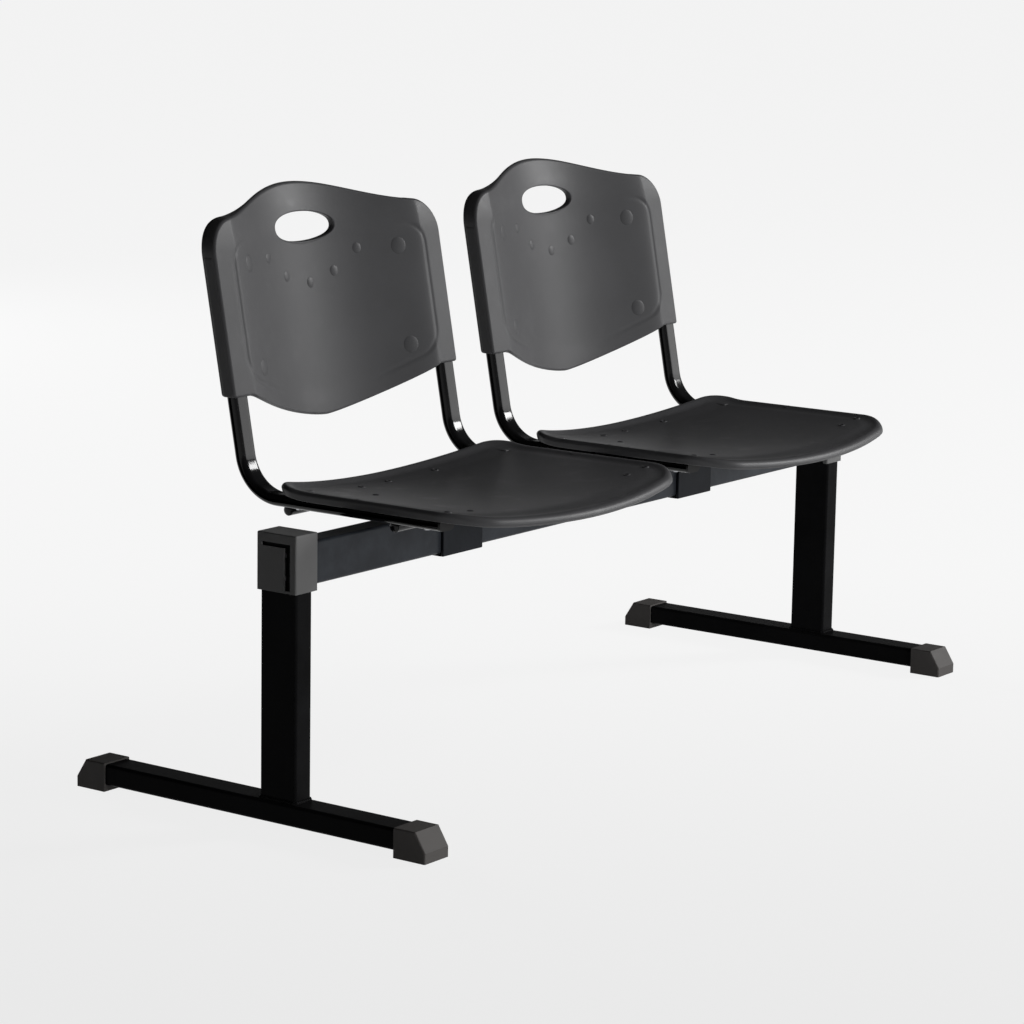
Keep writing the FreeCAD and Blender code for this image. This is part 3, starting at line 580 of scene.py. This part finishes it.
class BackShape:
    """Backrest's outline and faces, worked out from its node's box and the side tube's."""

    def __init__(self, number, s, tube):
        self.s = s
        low, high = extent("backrest_%d" % number)
        tube_low, tube_high = extent("side_tube_left_%d" % number)
        self.middle = (low[0] + high[0]) / 2.0
        self.half = (high[0] - low[0]) / 2.0
        self.top = high[2]
        self.bottom = low[2] + s.bow
        self.shoulder = high[2] - s.hump
        self.tube_x = self.middle - (tube_low[0] + tube_high[0]) / 2.0
        self.deep = tube.tube_deep
        self.wide = tube.tube_wide
        self.ref_z = tube_high[2] - tube.tube_deep / 2.0 * math.sin(s.lean)
        self.ref_y = tube_high[1] - tube.tube_deep / 2.0 * math.cos(s.lean)
        self.sleeve = self.tube_x - self.wide / 2.0 - s.sleeve_wall

    def lean_y(self, z):
        """Middle line of the side tubes: a straight line in z."""
        return self.ref_y + (z - self.ref_z) * math.tan(self.s.lean)

    def front(self, x, z):
        """Front face: lean, hollow h*(1 - (x/w)^2)^1.3 across, curl growing as u^1.6 above its start."""
        s = self.s
        across = np.clip(np.abs(x) / (self.half - s.band), 0, 1)
        hollow = s.hollow * (1 - across ** 2) ** 1.3
        curl = s.curl * np.clip((z - s.curl_from) / (self.top - s.curl_from), 0, None) ** 1.6
        return self.lean_y(z) - self.deep / 2.0 - s.sleeve_wall + hollow + curl

    def ground(self, x, z):
        """How far the panel lies behind the front face, with a groove round it.

        The distance d to the panel's edge is that of a corner of radius r between an upright and
        the upper or lower edge: r - |(max(r - side, 0), max(r - end, 0))|. Both the groove and the
        step fade towards the backrest's middle, where the upper and lower edges run out.
        """
        s, r = self.s, PANEL_CORNER
        side = self.half - PANEL_SIDE - np.abs(x)
        end = np.minimum(z - (self.lower(x) + PANEL_FOOT), s.curl_from + 5 * MM - z)
        d = r - np.hypot(np.maximum(r - side, 0), np.maximum(r - end, 0))
        high = smooth(z, s.curl_from - 37 * MM, s.curl_from - 4 * MM)
        outer = smooth(np.abs(x), (70 + 80 * high) * MM, (150 + 35 * high) * MM)
        soft = (2.5 + 12 * (1 - outer)) * MM
        return PANEL_DEPTH * smooth(d, -soft, soft) + GROOVE_DEPTH * outer * bump(d, 0, GROOVE_HALF)

    def lower(self, x):
        """Lower edge: bottom - bow*(1 - (|x|/w)^1.5) between the sleeves."""
        share = np.minimum(np.abs(x) / self.sleeve, 1.0)
        return self.bottom - self.s.bow * (1 - share ** 1.5)

    def outline(self, count=520):
        """Closed outline in (x, z), seen from the front and counter-clockwise.

        Upper edge: shoulder + hump*(1 + cos(pi*x/w))/2, 6 mm lower at the sides by |x|^3; lower
        edge: a bow hanging between flat sleeve ends; quarter arcs join the edges to the sides.
        """
        s = self.s

        def upper(x):
            """Height of the upper edge."""
            share = np.clip(np.abs(x) / s.hump_half, 0, 1)
            return (self.shoulder + s.hump * 0.5 * (1 + np.cos(math.pi * share))
                    - 6 * MM * (np.abs(x) / self.half) ** 3)

        a, r = self.half, s.corner
        reach = np.linspace(a - r, -(a - r), 200)
        turn = np.linspace(0, math.pi / 2, 40)
        rise = upper(a - r) - r
        right = np.column_stack([a - r + r * np.cos(turn), rise + r * np.sin(turn)])
        left = right[::-1] * (-1, 1)
        sweep = np.linspace(-math.pi / 2, 0, 8)
        foot_right = (a - FOOT_CORNER, self.bottom + FOOT_CORNER) + FOOT_CORNER * np.column_stack(
            [np.cos(sweep), np.sin(sweep)])
        foot_left = foot_right[::-1] * (-1, 1)
        bow_x = np.linspace(-self.sleeve, self.sleeve, 200)
        whole = np.vstack([foot_right, right, np.column_stack([reach, upper(reach)]), left, foot_left,
                           np.column_stack([bow_x, self.lower(bow_x)])])
        return resample(whole, count)

    def hole(self, angle):
        """Hand hole about its middle: radius r where (r*cos/a)^2 + (r*sin/b)^2.3 = 1, by halving."""
        s = self.s
        a, b = s.hole_width / 2.0, s.hole_height / 2.0
        x, z = np.cos(angle), np.sin(angle)
        low, high = np.full(len(angle), 0.5 * b), np.full(len(angle), 1.1 * a)
        for _ in range(40):
            r = (low + high) / 2.0
            inside = (np.abs(r * x) / a) ** 2.0 + (np.abs(r * z) / b) ** 2.3 < 1.0
            low, high = np.where(inside, r, low), np.where(inside, high, r)
        return r


def back_skin(shape):
    """Backrest as a torus of rings: hand hole, front face, rim, flange, rear face and collar."""
    s = shape.s
    outline = shape.outline()
    normal = outward(outline)
    eye = np.array([0.0, s.hole_z])
    spoke = outline - eye
    angle = np.arctan2(spoke[:, 1], spoke[:, 0])
    ray = np.stack([np.cos(angle), np.sin(angle)], axis=-1)
    hole = eye + ray * shape.hole(angle)[:, None]
    edge = FRONT_EDGE
    x, z = np.abs(outline[:, 0]), outline[:, 1]
    upper = z > shape.bottom + 0.45 * (shape.top - shape.bottom)
    over_hump = smooth(x, 110 * MM, 226 * MM)
    beside_bow = smooth(x, shape.sleeve - 6 * MM, shape.sleeve + 2 * MM)
    depth = np.where(upper, UPPER_FLANGE + (s.flange - UPPER_FLANGE) * over_hump,
                     LOWER_FLANGE + (s.flange - LOWER_FLANGE) * beside_bow)

    def ring(plan, back):
        """Points of a flat outline on the front face, moved back."""
        y = shape.front(plan[:, 0], plan[:, 1]) + back
        return np.column_stack([shape.middle + plan[:, 0], y, plan[:, 1]])

    rings = []
    inner = outline - normal * edge
    first = hole + ray * HOLE_EDGE
    span = inner - first
    for share in 1.0 - (1.0 - np.linspace(0, 1, 118)) ** 1.2:
        plan = first + span * share
        rings.append(ring(plan, shape.ground(plan[:, 0], plan[:, 1])))
    start = shape.ground(inner[:, 0], inner[:, 1])
    for turn in np.linspace(0, math.pi / 2, 7)[1:]:
        plan = inner + normal * edge * math.sin(turn)
        rings.append(ring(plan, start + edge * (1 - math.cos(turn))))
    tip = np.maximum(depth - 1.2 * MM, edge + 0.5 * MM)
    for share in (0.2, 0.6, 1.0):
        rings.append(ring(outline, edge + (tip - edge) * share))
    for turn in np.linspace(0, math.pi, 6)[1:]:
        plan = outline - normal * FLANGE_WALL / 2.0 * (1 - math.cos(turn))
        rings.append(ring(plan, tip + 1.2 * MM * math.sin(turn)))
    inside = outline - normal * FLANGE_WALL
    for share in (0.5, 1.0):
        rings.append(ring(inside, tip + (s.wall - tip) * share))
    collar = hole + ray * COLLAR_WALL
    for share in np.linspace(0.985, 0.0, 34):
        rings.append(ring(collar + (inside - collar) * share, s.wall))
    for back in (s.wall + 2.0 * MM, COLLAR_DEPTH):
        rings.append(ring(collar, back))
    for turn in np.linspace(0, math.pi, 6)[1:]:
        plan = hole + ray * COLLAR_WALL / 2.0 * (1 + math.cos(turn))
        rings.append(ring(plan, COLLAR_DEPTH + 1.2 * MM * math.sin(turn)))
    for turn in np.linspace(0, math.pi / 2, 5)[:-1]:
        plan = hole + ray * HOLE_EDGE * (1 - math.cos(turn))
        rings.append(ring(plan, HOLE_EDGE * (1 - math.sin(turn))))
    return skin(np.array(rings), loop=True)


def sleeve_skin(shape, side):
    """Box sleeve behind the shell: rounded rectangle carried up the leaning line, domed at its top.

    Each level is a height and the inset of the outline there; the dome's insets follow 1 - cos.
    """
    s = shape.s
    width = shape.wide + 2 * s.sleeve_wall - 2.4 * MM
    front = 1.6 * MM
    depth = s.flange - front - 0.6 * MM
    outline = rectangle(width, depth, 5 * MM)
    normal = outward(outline)
    base = shape.bottom + 0.4 * MM
    top = shape.shoulder - 44 * MM
    levels = [(base, 0.8 * MM), (base + 0.8 * MM, 0.0), (base + 2 * MM, 0.0), (top - 10 * MM, 0.0)]
    for turn in np.linspace(0, math.pi / 2, 8)[1:]:
        levels.append((top - 9 * MM + 9 * MM * math.sin(turn), 8 * MM * (1 - math.cos(turn))))
    rings = []
    for z, inset in levels:
        flat = outline - normal * inset
        y = shape.lean_y(z) - shape.deep / 2.0 - s.sleeve_wall + front + depth / 2.0 + flat[:, 1]
        x = shape.middle + side * shape.tube_x + flat[:, 0]
        rings.append(np.column_stack([x, y, np.full(len(flat), z)]))
    return skin(np.array(rings))


def boss_skin(place, normal, radius, profile):
    """Small moulded mark: heights along its radius turned about the normal, closed underneath."""
    normal = np.array(normal, float) / np.linalg.norm(normal)
    u = np.cross(normal, (0.0, 1.0, 0.0) if abs(normal[2]) > 0.7 else (0.0, 0.0, 1.0))
    u /= np.linalg.norm(u)
    v = np.cross(normal, u)
    angle = np.linspace(0, 2 * math.pi, 32, endpoint=False)
    circle = np.cos(angle)[:, None] * u + np.sin(angle)[:, None] * v
    across = np.linspace(0.03, 1.0, len(profile)) * radius
    rings = [np.array(place) + normal * height + circle * r for r, height in zip(across, profile)]
    return skin(np.array([*rings, rings[-1] - normal * MM]))


def dome(height):
    """Profile of a shallow dome that falls below the surface at its edge."""
    share = np.linspace(0, 1, 9)
    return height * ((1 - share ** 2) ** 0.8 * 1.3 - 0.3)


def dimple(height):
    """Profile of a low ring round a sunken middle."""
    share = np.linspace(0, 1, 11)
    return height * (bump(share, 0.68, 0.2) * 1.2 - 0.35 * smooth(share, 0.8, 1.0))


# Places of the moulding marks in millimetres: on the backrest across it and above the floor, on
# the seat across it and in Y
SMALL_MARKS = ((-90, 660), (-48, 633), (2, 621), (48, 633), (90, 660))
LARGE_MARKS = ((-152, 660), (152, 660), (-151, 530), (151, 530))
SEAT_MARKS = ((-228, -80), (228, -80), (-212, -205), (212, -205), (-168, -206), (168, -206),
              (-131, -32), (-82, 30), (-17, 38), (79, 36))


def back_marks(shape):
    """Small and large moulded marks on the front face, each along the face's own normal."""
    skins = []
    kinds = ((SMALL_MARKS, 7.5 * MM, dome(0.95 * MM)), (LARGE_MARKS, 12 * MM, dome(1.1 * MM)))
    for places, radius, profile in kinds:
        for x, z in places:
            x, z = x * MM, z * MM
            slope_x = (shape.front(x + MM, z) - shape.front(x - MM, z)) / (2 * MM)
            slope_z = (shape.front(x, z + MM) - shape.front(x, z - MM)) / (2 * MM)
            place = (shape.middle + x, shape.front(x, z) + shape.ground(x, z) - 0.1 * MM, z)
            skins.append(boss_skin(place, (slope_x, -1.0, slope_z), radius, profile))
    return skins


def seat_marks(low, high, s):
    """Small dimpled marks on the seat's rims and hollow."""
    skins = []
    for x, y in SEAT_MARKS:
        x, y = (low[0] + high[0]) / 2.0 + x * MM, y * MM
        z = seat_height(x, y, low, high, s)
        slope_x = (seat_height(x + MM, y, low, high, s) - z) / MM
        slope_y = (seat_height(x, y + MM, low, high, s) - z) / MM
        skins.append(boss_skin((x, y, z + 0.1 * MM), (-slope_x, -slope_y, 1.0), 5 * MM, dimple(0.9 * MM)))
    return skins


# Frame

# Rounding of the cut ends of tubes and sheet
BAR_END = 0.5 * MM


def side_tube_skin(number, side, s, lean):
    """Flat-oval tube: its outline carried along the seat, round a bend of constant radius, up the back.

    A ring just inside each end keeps the shading straight up to the end face.
    """
    low, high = extent("side_tube_%s_%d" % (side, number))
    x = (low[0] + high[0]) / 2.0
    level = low[2] + s.tube_deep / 2.0
    top_y = high[1] - s.tube_deep / 2.0 * math.cos(lean)
    top_z = high[2] - s.tube_deep / 2.0 * math.sin(lean)
    vertex_y = top_y - (top_z - level) * math.tan(lean)
    turn = math.pi / 2.0 - lean
    reach = s.bend * math.tan(turn / 2.0)
    bend_y = vertex_y - reach
    angle = np.linspace(0, turn, 30)
    arc_y = bend_y + s.bend * np.sin(angle)
    arc_z = level + s.bend * (1 - np.cos(angle))
    upright = (top_z - arc_z[-1]) / math.cos(lean)
    steps = np.array([2 * MM, upright - MM, upright])
    path_y = np.concatenate([[low[1], low[1] + MM, bend_y - 2 * MM], arc_y,
                             arc_y[-1] + steps * math.sin(lean)])
    path_z = np.concatenate([[level] * 3, arc_z, arc_z[-1] + steps * math.cos(lean)])
    tilt = np.concatenate([[0.0] * 3, angle, [turn] * 3])
    outline = rectangle(s.tube_wide, s.tube_deep, s.tube_deep / 2.0 * 0.998, 14)
    rings = np.empty((len(tilt), len(outline), 3))
    rings[..., 0] = x + outline[:, 0]
    rings[..., 1] = path_y[:, None] - np.sin(tilt)[:, None] * outline[:, 1]
    rings[..., 2] = path_z[:, None] + np.cos(tilt)[:, None] * outline[:, 1]
    return skin(rings)


def cross_tube_skin(number, end):
    """Round tube with domed plugs: a radius profile turned about the tube's axis."""
    low, high = extent("cross_tube_%s_%d" % (end, number))
    radius = (high[2] - low[2]) / 2.0
    plug = radius * 0.96
    rise = np.linspace(0.12, math.pi / 2, 7)
    left = np.concatenate([low[0] - 3 * MM * np.cos(rise), [low[0], low[0] + 0.1 * MM, low[0] + MM]])
    sizes = np.concatenate([plug * np.sin(rise), [plug, radius, radius]])
    x = np.concatenate([left, (low[0] + high[0]) - left[::-1]])
    sizes = np.concatenate([sizes, sizes[::-1]])
    angle = np.linspace(0, 2 * math.pi, 40, endpoint=False)
    y, z = (low[1] + high[1]) / 2.0, (low[2] + high[2]) / 2.0
    rings = np.stack([x[:, None] + 0 * angle, y + sizes[:, None] * np.cos(angle),
                      z + sizes[:, None] * np.sin(angle)], axis=-1)
    return skin(rings)


def saddle_skin(number):
    """Folded saddle: inverted U with wings, rounded outside the folds, drawn along the beam."""
    low, high = extent("saddle_%d" % number)
    beam_low, beam_high = extent("beam")
    wall = high[2] - beam_high[2]
    front = beam_low[1] - 0.3 * MM
    rear = beam_high[1] + 0.3 * MM
    under = high[2] - wall
    points = [(low[1], under), (front - wall, under), (front - wall, low[2]), (front, low[2]), (front, under),
              (rear, under), (rear, low[2]), (rear + wall, low[2]), (rear + wall, under), (high[1], under),
              (high[1], high[2]), (low[1], high[2])]
    return bar(rounded_polygon(points, wall * 0.3), (low[0], 0, 0), Y, Z, X, high[0] - low[0], BAR_END)


def weld_bead(centre, width, depth, radius, z):
    """Rippled bead: a small circle carried round a rectangle, its radius waving by 14 per cent."""
    count, ripples = 240, 46
    path = resample(rectangle(width, depth, 3 * MM, 8), count)
    normal = outward(path)
    wave = np.sin(np.linspace(0, 2 * math.pi * ripples, count, endpoint=False))
    angle = np.linspace(0, 2 * math.pi, 14, endpoint=False)
    out = radius * (1 + 0.14 * wave[:, None]) * np.cos(angle)
    up = radius * (1 + 0.14 * wave[:, None]) * np.sin(angle)
    rings = np.empty((count, len(angle), 3))
    rings[..., 0] = centre[0] + path[:, None, 0] + normal[:, None, 0] * out
    rings[..., 1] = centre[1] + path[:, None, 1] + normal[:, None, 1] * out
    rings[..., 2] = z + up
    return skin(rings, loop=True)


# Operators


class BENCH_OT_seats(bpy.types.Operator):
    """Make both moulded seats"""

    bl_idname = "bench.seats"
    bl_label = "Seats"

    def execute(self, context):
        s = context.scene.bench_seat
        for number in SEATS:
            node = "seat_shell_%d" % number
            low, high = extent(node)
            pads = seat_pads(number, low, high, s, context.scene.bench_frame.tube_deep)
            skins = [seat_skin(low, high, s)] + pads + seat_marks(low, high, s)
            piece("seat_%d" % number, skins, finish_of("shell plastic"), [node])
        return {"FINISHED"}


class BENCH_OT_backs(bpy.types.Operator):
    """Make both moulded backrests with their sleeves and marks"""

    bl_idname = "bench.backs"
    bl_label = "Backrests"

    def execute(self, context):
        for number in SEATS:
            shape = BackShape(number, context.scene.bench_back, context.scene.bench_frame)
            skins = [back_skin(shape), sleeve_skin(shape, -1), sleeve_skin(shape, 1)] + back_marks(shape)
            piece("back_%d" % number, skins, finish_of("shell plastic"),
                  ["backrest_%d" % number])
        return {"FINISHED"}


class BENCH_OT_seat_frames(bpy.types.Operator):
    """Make the bent side tubes, the cross tubes and the saddles"""

    bl_idname = "bench.seat_frames"
    bl_label = "Seat frames"

    def execute(self, context):
        s = context.scene.bench_frame
        lean = context.scene.bench_back.lean
        paint = finish_of("tube paint")
        for number in SEATS:
            for side in SIDES:
                piece("side_tube_%s_%d_bent" % (side, number), [side_tube_skin(number, side, s, lean)],
                      paint, ["side_tube_%s_%d" % (side, number)])
            piece("cross_tubes_%d" % number,
                  [cross_tube_skin(number, "front"), cross_tube_skin(number, "rear")], paint,
                  ["cross_tube_front_%d" % number, "cross_tube_rear_%d" % number,
                   "cross_tube_plugs_%d" % number])
            piece("saddle_%d_folded" % number, [saddle_skin(number)], finish_of("saddle paint"),
                  ["saddle_%d" % number])
        return {"FINISHED"}


class BENCH_OT_legs(bpy.types.Operator):
    """Make the beam, posts and feet with rounded corners, and their welds"""

    bl_idname = "bench.legs"
    bl_label = "Beam and legs"

    def execute(self, context):
        s = context.scene.bench_frame
        paint = finish_of("frame paint")
        low, high = extent("beam")
        size, middle = high - low, (low + high) / 2.0
        lying = bar(rectangle(size[1], size[2], s.bar_corner), (low[0], middle[1], middle[2]),
                    Y, Z, X, size[0], BAR_END)
        piece("beam_tube", [lying], finish_of("beam paint"), ["beam"])
        for side in SIDES:
            low, high = extent("post_" + side)
            size, middle = high - low, (low + high) / 2.0
            upright = bar(rectangle(size[0], size[1], s.bar_corner * 0.8), (middle[0], middle[1], low[2]),
                          X, Y, Z, size[2], BAR_END)
            bead = weld_bead(middle, size[0], size[1], s.weld, low[2] + 0.4 * s.weld)
            piece("post_%s_tube" % side, [upright, bead], paint, ["post_" + side])
            low, high = extent("foot_tube_" + side)
            size, middle = high - low, (low + high) / 2.0
            foot = bar(rectangle(size[0], size[2], s.bar_corner), (middle[0], low[1], middle[2]),
                       X, Z, Y, size[1], BAR_END)
            piece("foot_%s_tube" % side, [foot], paint, ["foot_tube_" + side])
        return {"FINISHED"}


class BENCH_OT_finishes(bpy.types.Operator):
    """Give the frame's other parts their finishes"""

    bl_idname = "bench.finishes"
    bl_label = "Finishes"

    def execute(self, context):
        for name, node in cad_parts.items():
            kinds = [kind for start, kind in PART_FINISHES.items() if name.startswith(start)]
            kind = kinds[0] if kinds else "frame paint"
            node.data.materials.clear()
            node.data.materials.append(finish_of(kind))
        return {"FINISHED"}


# Stage

# The floor's radius and how far it lies under the feet, the lamps' target, and each lamp's name,
# place, width, height and whether reflections show it
FLOOR_RADIUS = 60.0
FLOOR_DROP = 0.0002
TARGET = (0, 0, 0.45)
LAMPS = (("front", (-0.7, -5.2, 1.05), 2.0, 1.2, False), ("side", (3.6, -2.9, 0.95), 2.6, 1.3, True),
         ("high", (6.1, -4.0, 3.6), 1.5, 2.0, True), ("fill", (-4.6, -2.2, 0.9), 1.6, 1.2, False),
         ("rear", (1.2, 5.0, 0.85), 2.0, 1.0, False))


def floor_finish(s):
    """Pale floor: shows its own tone to the camera and in reflections, and keeps a soft shadow.

    Its tone rises along a line across the floor: a painted falloff of light, as on studio paper under one
    lamp.
    """
    finish = Finish("pale floor")
    line = (math.sin(-s.azimuth), math.cos(s.azimuth), 0.0)
    along = finish.node("ShaderNodeVectorMath", {"operation": "DOT_PRODUCT"}, {0: finish.place, 1: line},
                        output="Value")
    # Painted light: the glow's tone grows from floor near to floor far along the line, a lamp's falloff
    # painted into the floor
    tone = s.floor_near + along.over(-1.8, 1.3) * (s.floor_far - s.floor_near)
    glow = finish.node("ShaderNodeEmission", None, {"Color": tone})
    direct, mirrored = finish.rays()
    seen = direct.math("MAXIMUM", mirrored)
    plain = finish.node("ShaderNodeBsdfDiffuse", None, {"Color": 0.25 + seen * 0.45})
    return finish.close(finish.node("ShaderNodeMixShader", None, {0: seen * 0.9, 1: plain, 2: glow}))


def surround(s):
    """Pale to the camera, dim where it only lights the bench, darker overhead in reflections."""
    finish = Finish("pale surround", True)
    height = finish.node("ShaderNodeSeparateXYZ", None, {0: finish.place}, output="Z")
    tone = s.horizon + height.over(0.03, 0.22) * (s.zenith - s.horizon)
    direct, mirrored = finish.rays()
    strength = s.sky + direct * (s.backdrop - s.sky) + mirrored * (tone - s.sky)
    shade = finish.node("ShaderNodeBackground", None, {"Color": (1.0, 1.0, 1.0), "Strength": strength})
    return finish.close(shade, "ShaderNodeOutputWorld")


def lamp(name, place, width, height, mirrored, power):
    """Rectangular soft lamp that faces the bench; where not mirrored, no reflection shows it."""
    data = bpy.data.lights.new(name, "AREA")
    data.shape = "RECTANGLE"
    data.size, data.size_y = width, height
    data.energy = power
    made = bpy.data.objects.new(name, data)
    made.visible_glossy = mirrored
    made.location = place
    made.rotation_euler = (Vector(TARGET) - Vector(place)).to_track_quat("-Z", "Y").to_euler()
    bpy.context.scene.collection.objects.link(made)


class BENCH_OT_stage(bpy.types.Operator):
    """Make the floor, the lamps and the camera"""

    bl_idname = "bench.stage"
    bl_label = "Stage"

    def execute(self, context):
        scene = context.scene
        s = scene.bench_stage
        scene.view_settings.view_transform = "Standard"
        angle = np.linspace(0, 2 * math.pi, 96, endpoint=False)
        mesh = bpy.data.meshes.new("floor")
        disc = np.column_stack([FLOOR_RADIUS * np.cos(angle), FLOOR_RADIUS * np.sin(angle),
                                np.full(len(angle), -FLOOR_DROP)])
        mesh.from_pydata(disc.tolist(), [], [list(range(len(angle)))])
        mesh.materials.append(floor_finish(s))
        ground = bpy.data.objects.new("floor", mesh)
        scene.collection.objects.link(ground)
        for name, *values in LAMPS:
            lamp(name + " lamp", *values, getattr(s, name))
        scene.world = surround(s)
        data = bpy.data.cameras.new("camera")
        data.lens = s.lens
        data.sensor_width = 36.0
        camera = bpy.data.objects.new("camera", data)
        back = Vector((math.sin(s.azimuth) * math.cos(s.elevation),
                       -math.cos(s.azimuth) * math.cos(s.elevation), math.sin(s.elevation)))
        level_right = Vector((0, 0, 1)).cross(back).normalized()
        level_up = back.cross(level_right)
        right = math.cos(s.roll) * level_right + math.sin(s.roll) * level_up
        up = back.cross(right)
        turn = Matrix((right, up, back)).transposed().to_4x4()
        camera.matrix_world = Matrix.Translation(Vector(s.camera)) @ turn
        scene.collection.objects.link(camera)
        scene.camera = camera
        return {"FINISHED"}


class BENCH_PT_panel(bpy.types.Panel):
    bl_label = "Beam bench"
    bl_idname = "BENCH_PT_panel"
    bl_space_type = "VIEW_3D"
    bl_region_type = "UI"
    bl_category = "Bench"

    def draw(self, context):
        for operator in OPERATORS:
            self.layout.operator(operator.bl_idname)


GROUPS = {"bench_seat": BenchSeatSettings, "bench_back": BenchBackSettings, "bench_frame": BenchFrameSettings,
          "bench_colours": BenchColourSettings, "bench_stage": BenchStageSettings}
OPERATORS = (BENCH_OT_finishes, BENCH_OT_legs, BENCH_OT_seat_frames, BENCH_OT_seats, BENCH_OT_backs,
             BENCH_OT_stage)


def register():
    for group in GROUPS.values():
        bpy.utils.register_class(group)
    for name, group in GROUPS.items():
        setattr(bpy.types.Scene, name, PointerProperty(type=group))
    for operator in OPERATORS:
        bpy.utils.register_class(operator)
    bpy.utils.register_class(BENCH_PT_panel)


def unregister():
    bpy.utils.unregister_class(BENCH_PT_panel)
    for operator in reversed(OPERATORS):
        bpy.utils.unregister_class(operator)
    for name, group in GROUPS.items():
        delattr(bpy.types.Scene, name)
        bpy.utils.unregister_class(group)


def main():
    register()
    for operator in OPERATORS:
        category, name = operator.bl_idname.split(".")
        getattr(getattr(bpy.ops, category), name)()


if __name__ == "__main__":
    main()
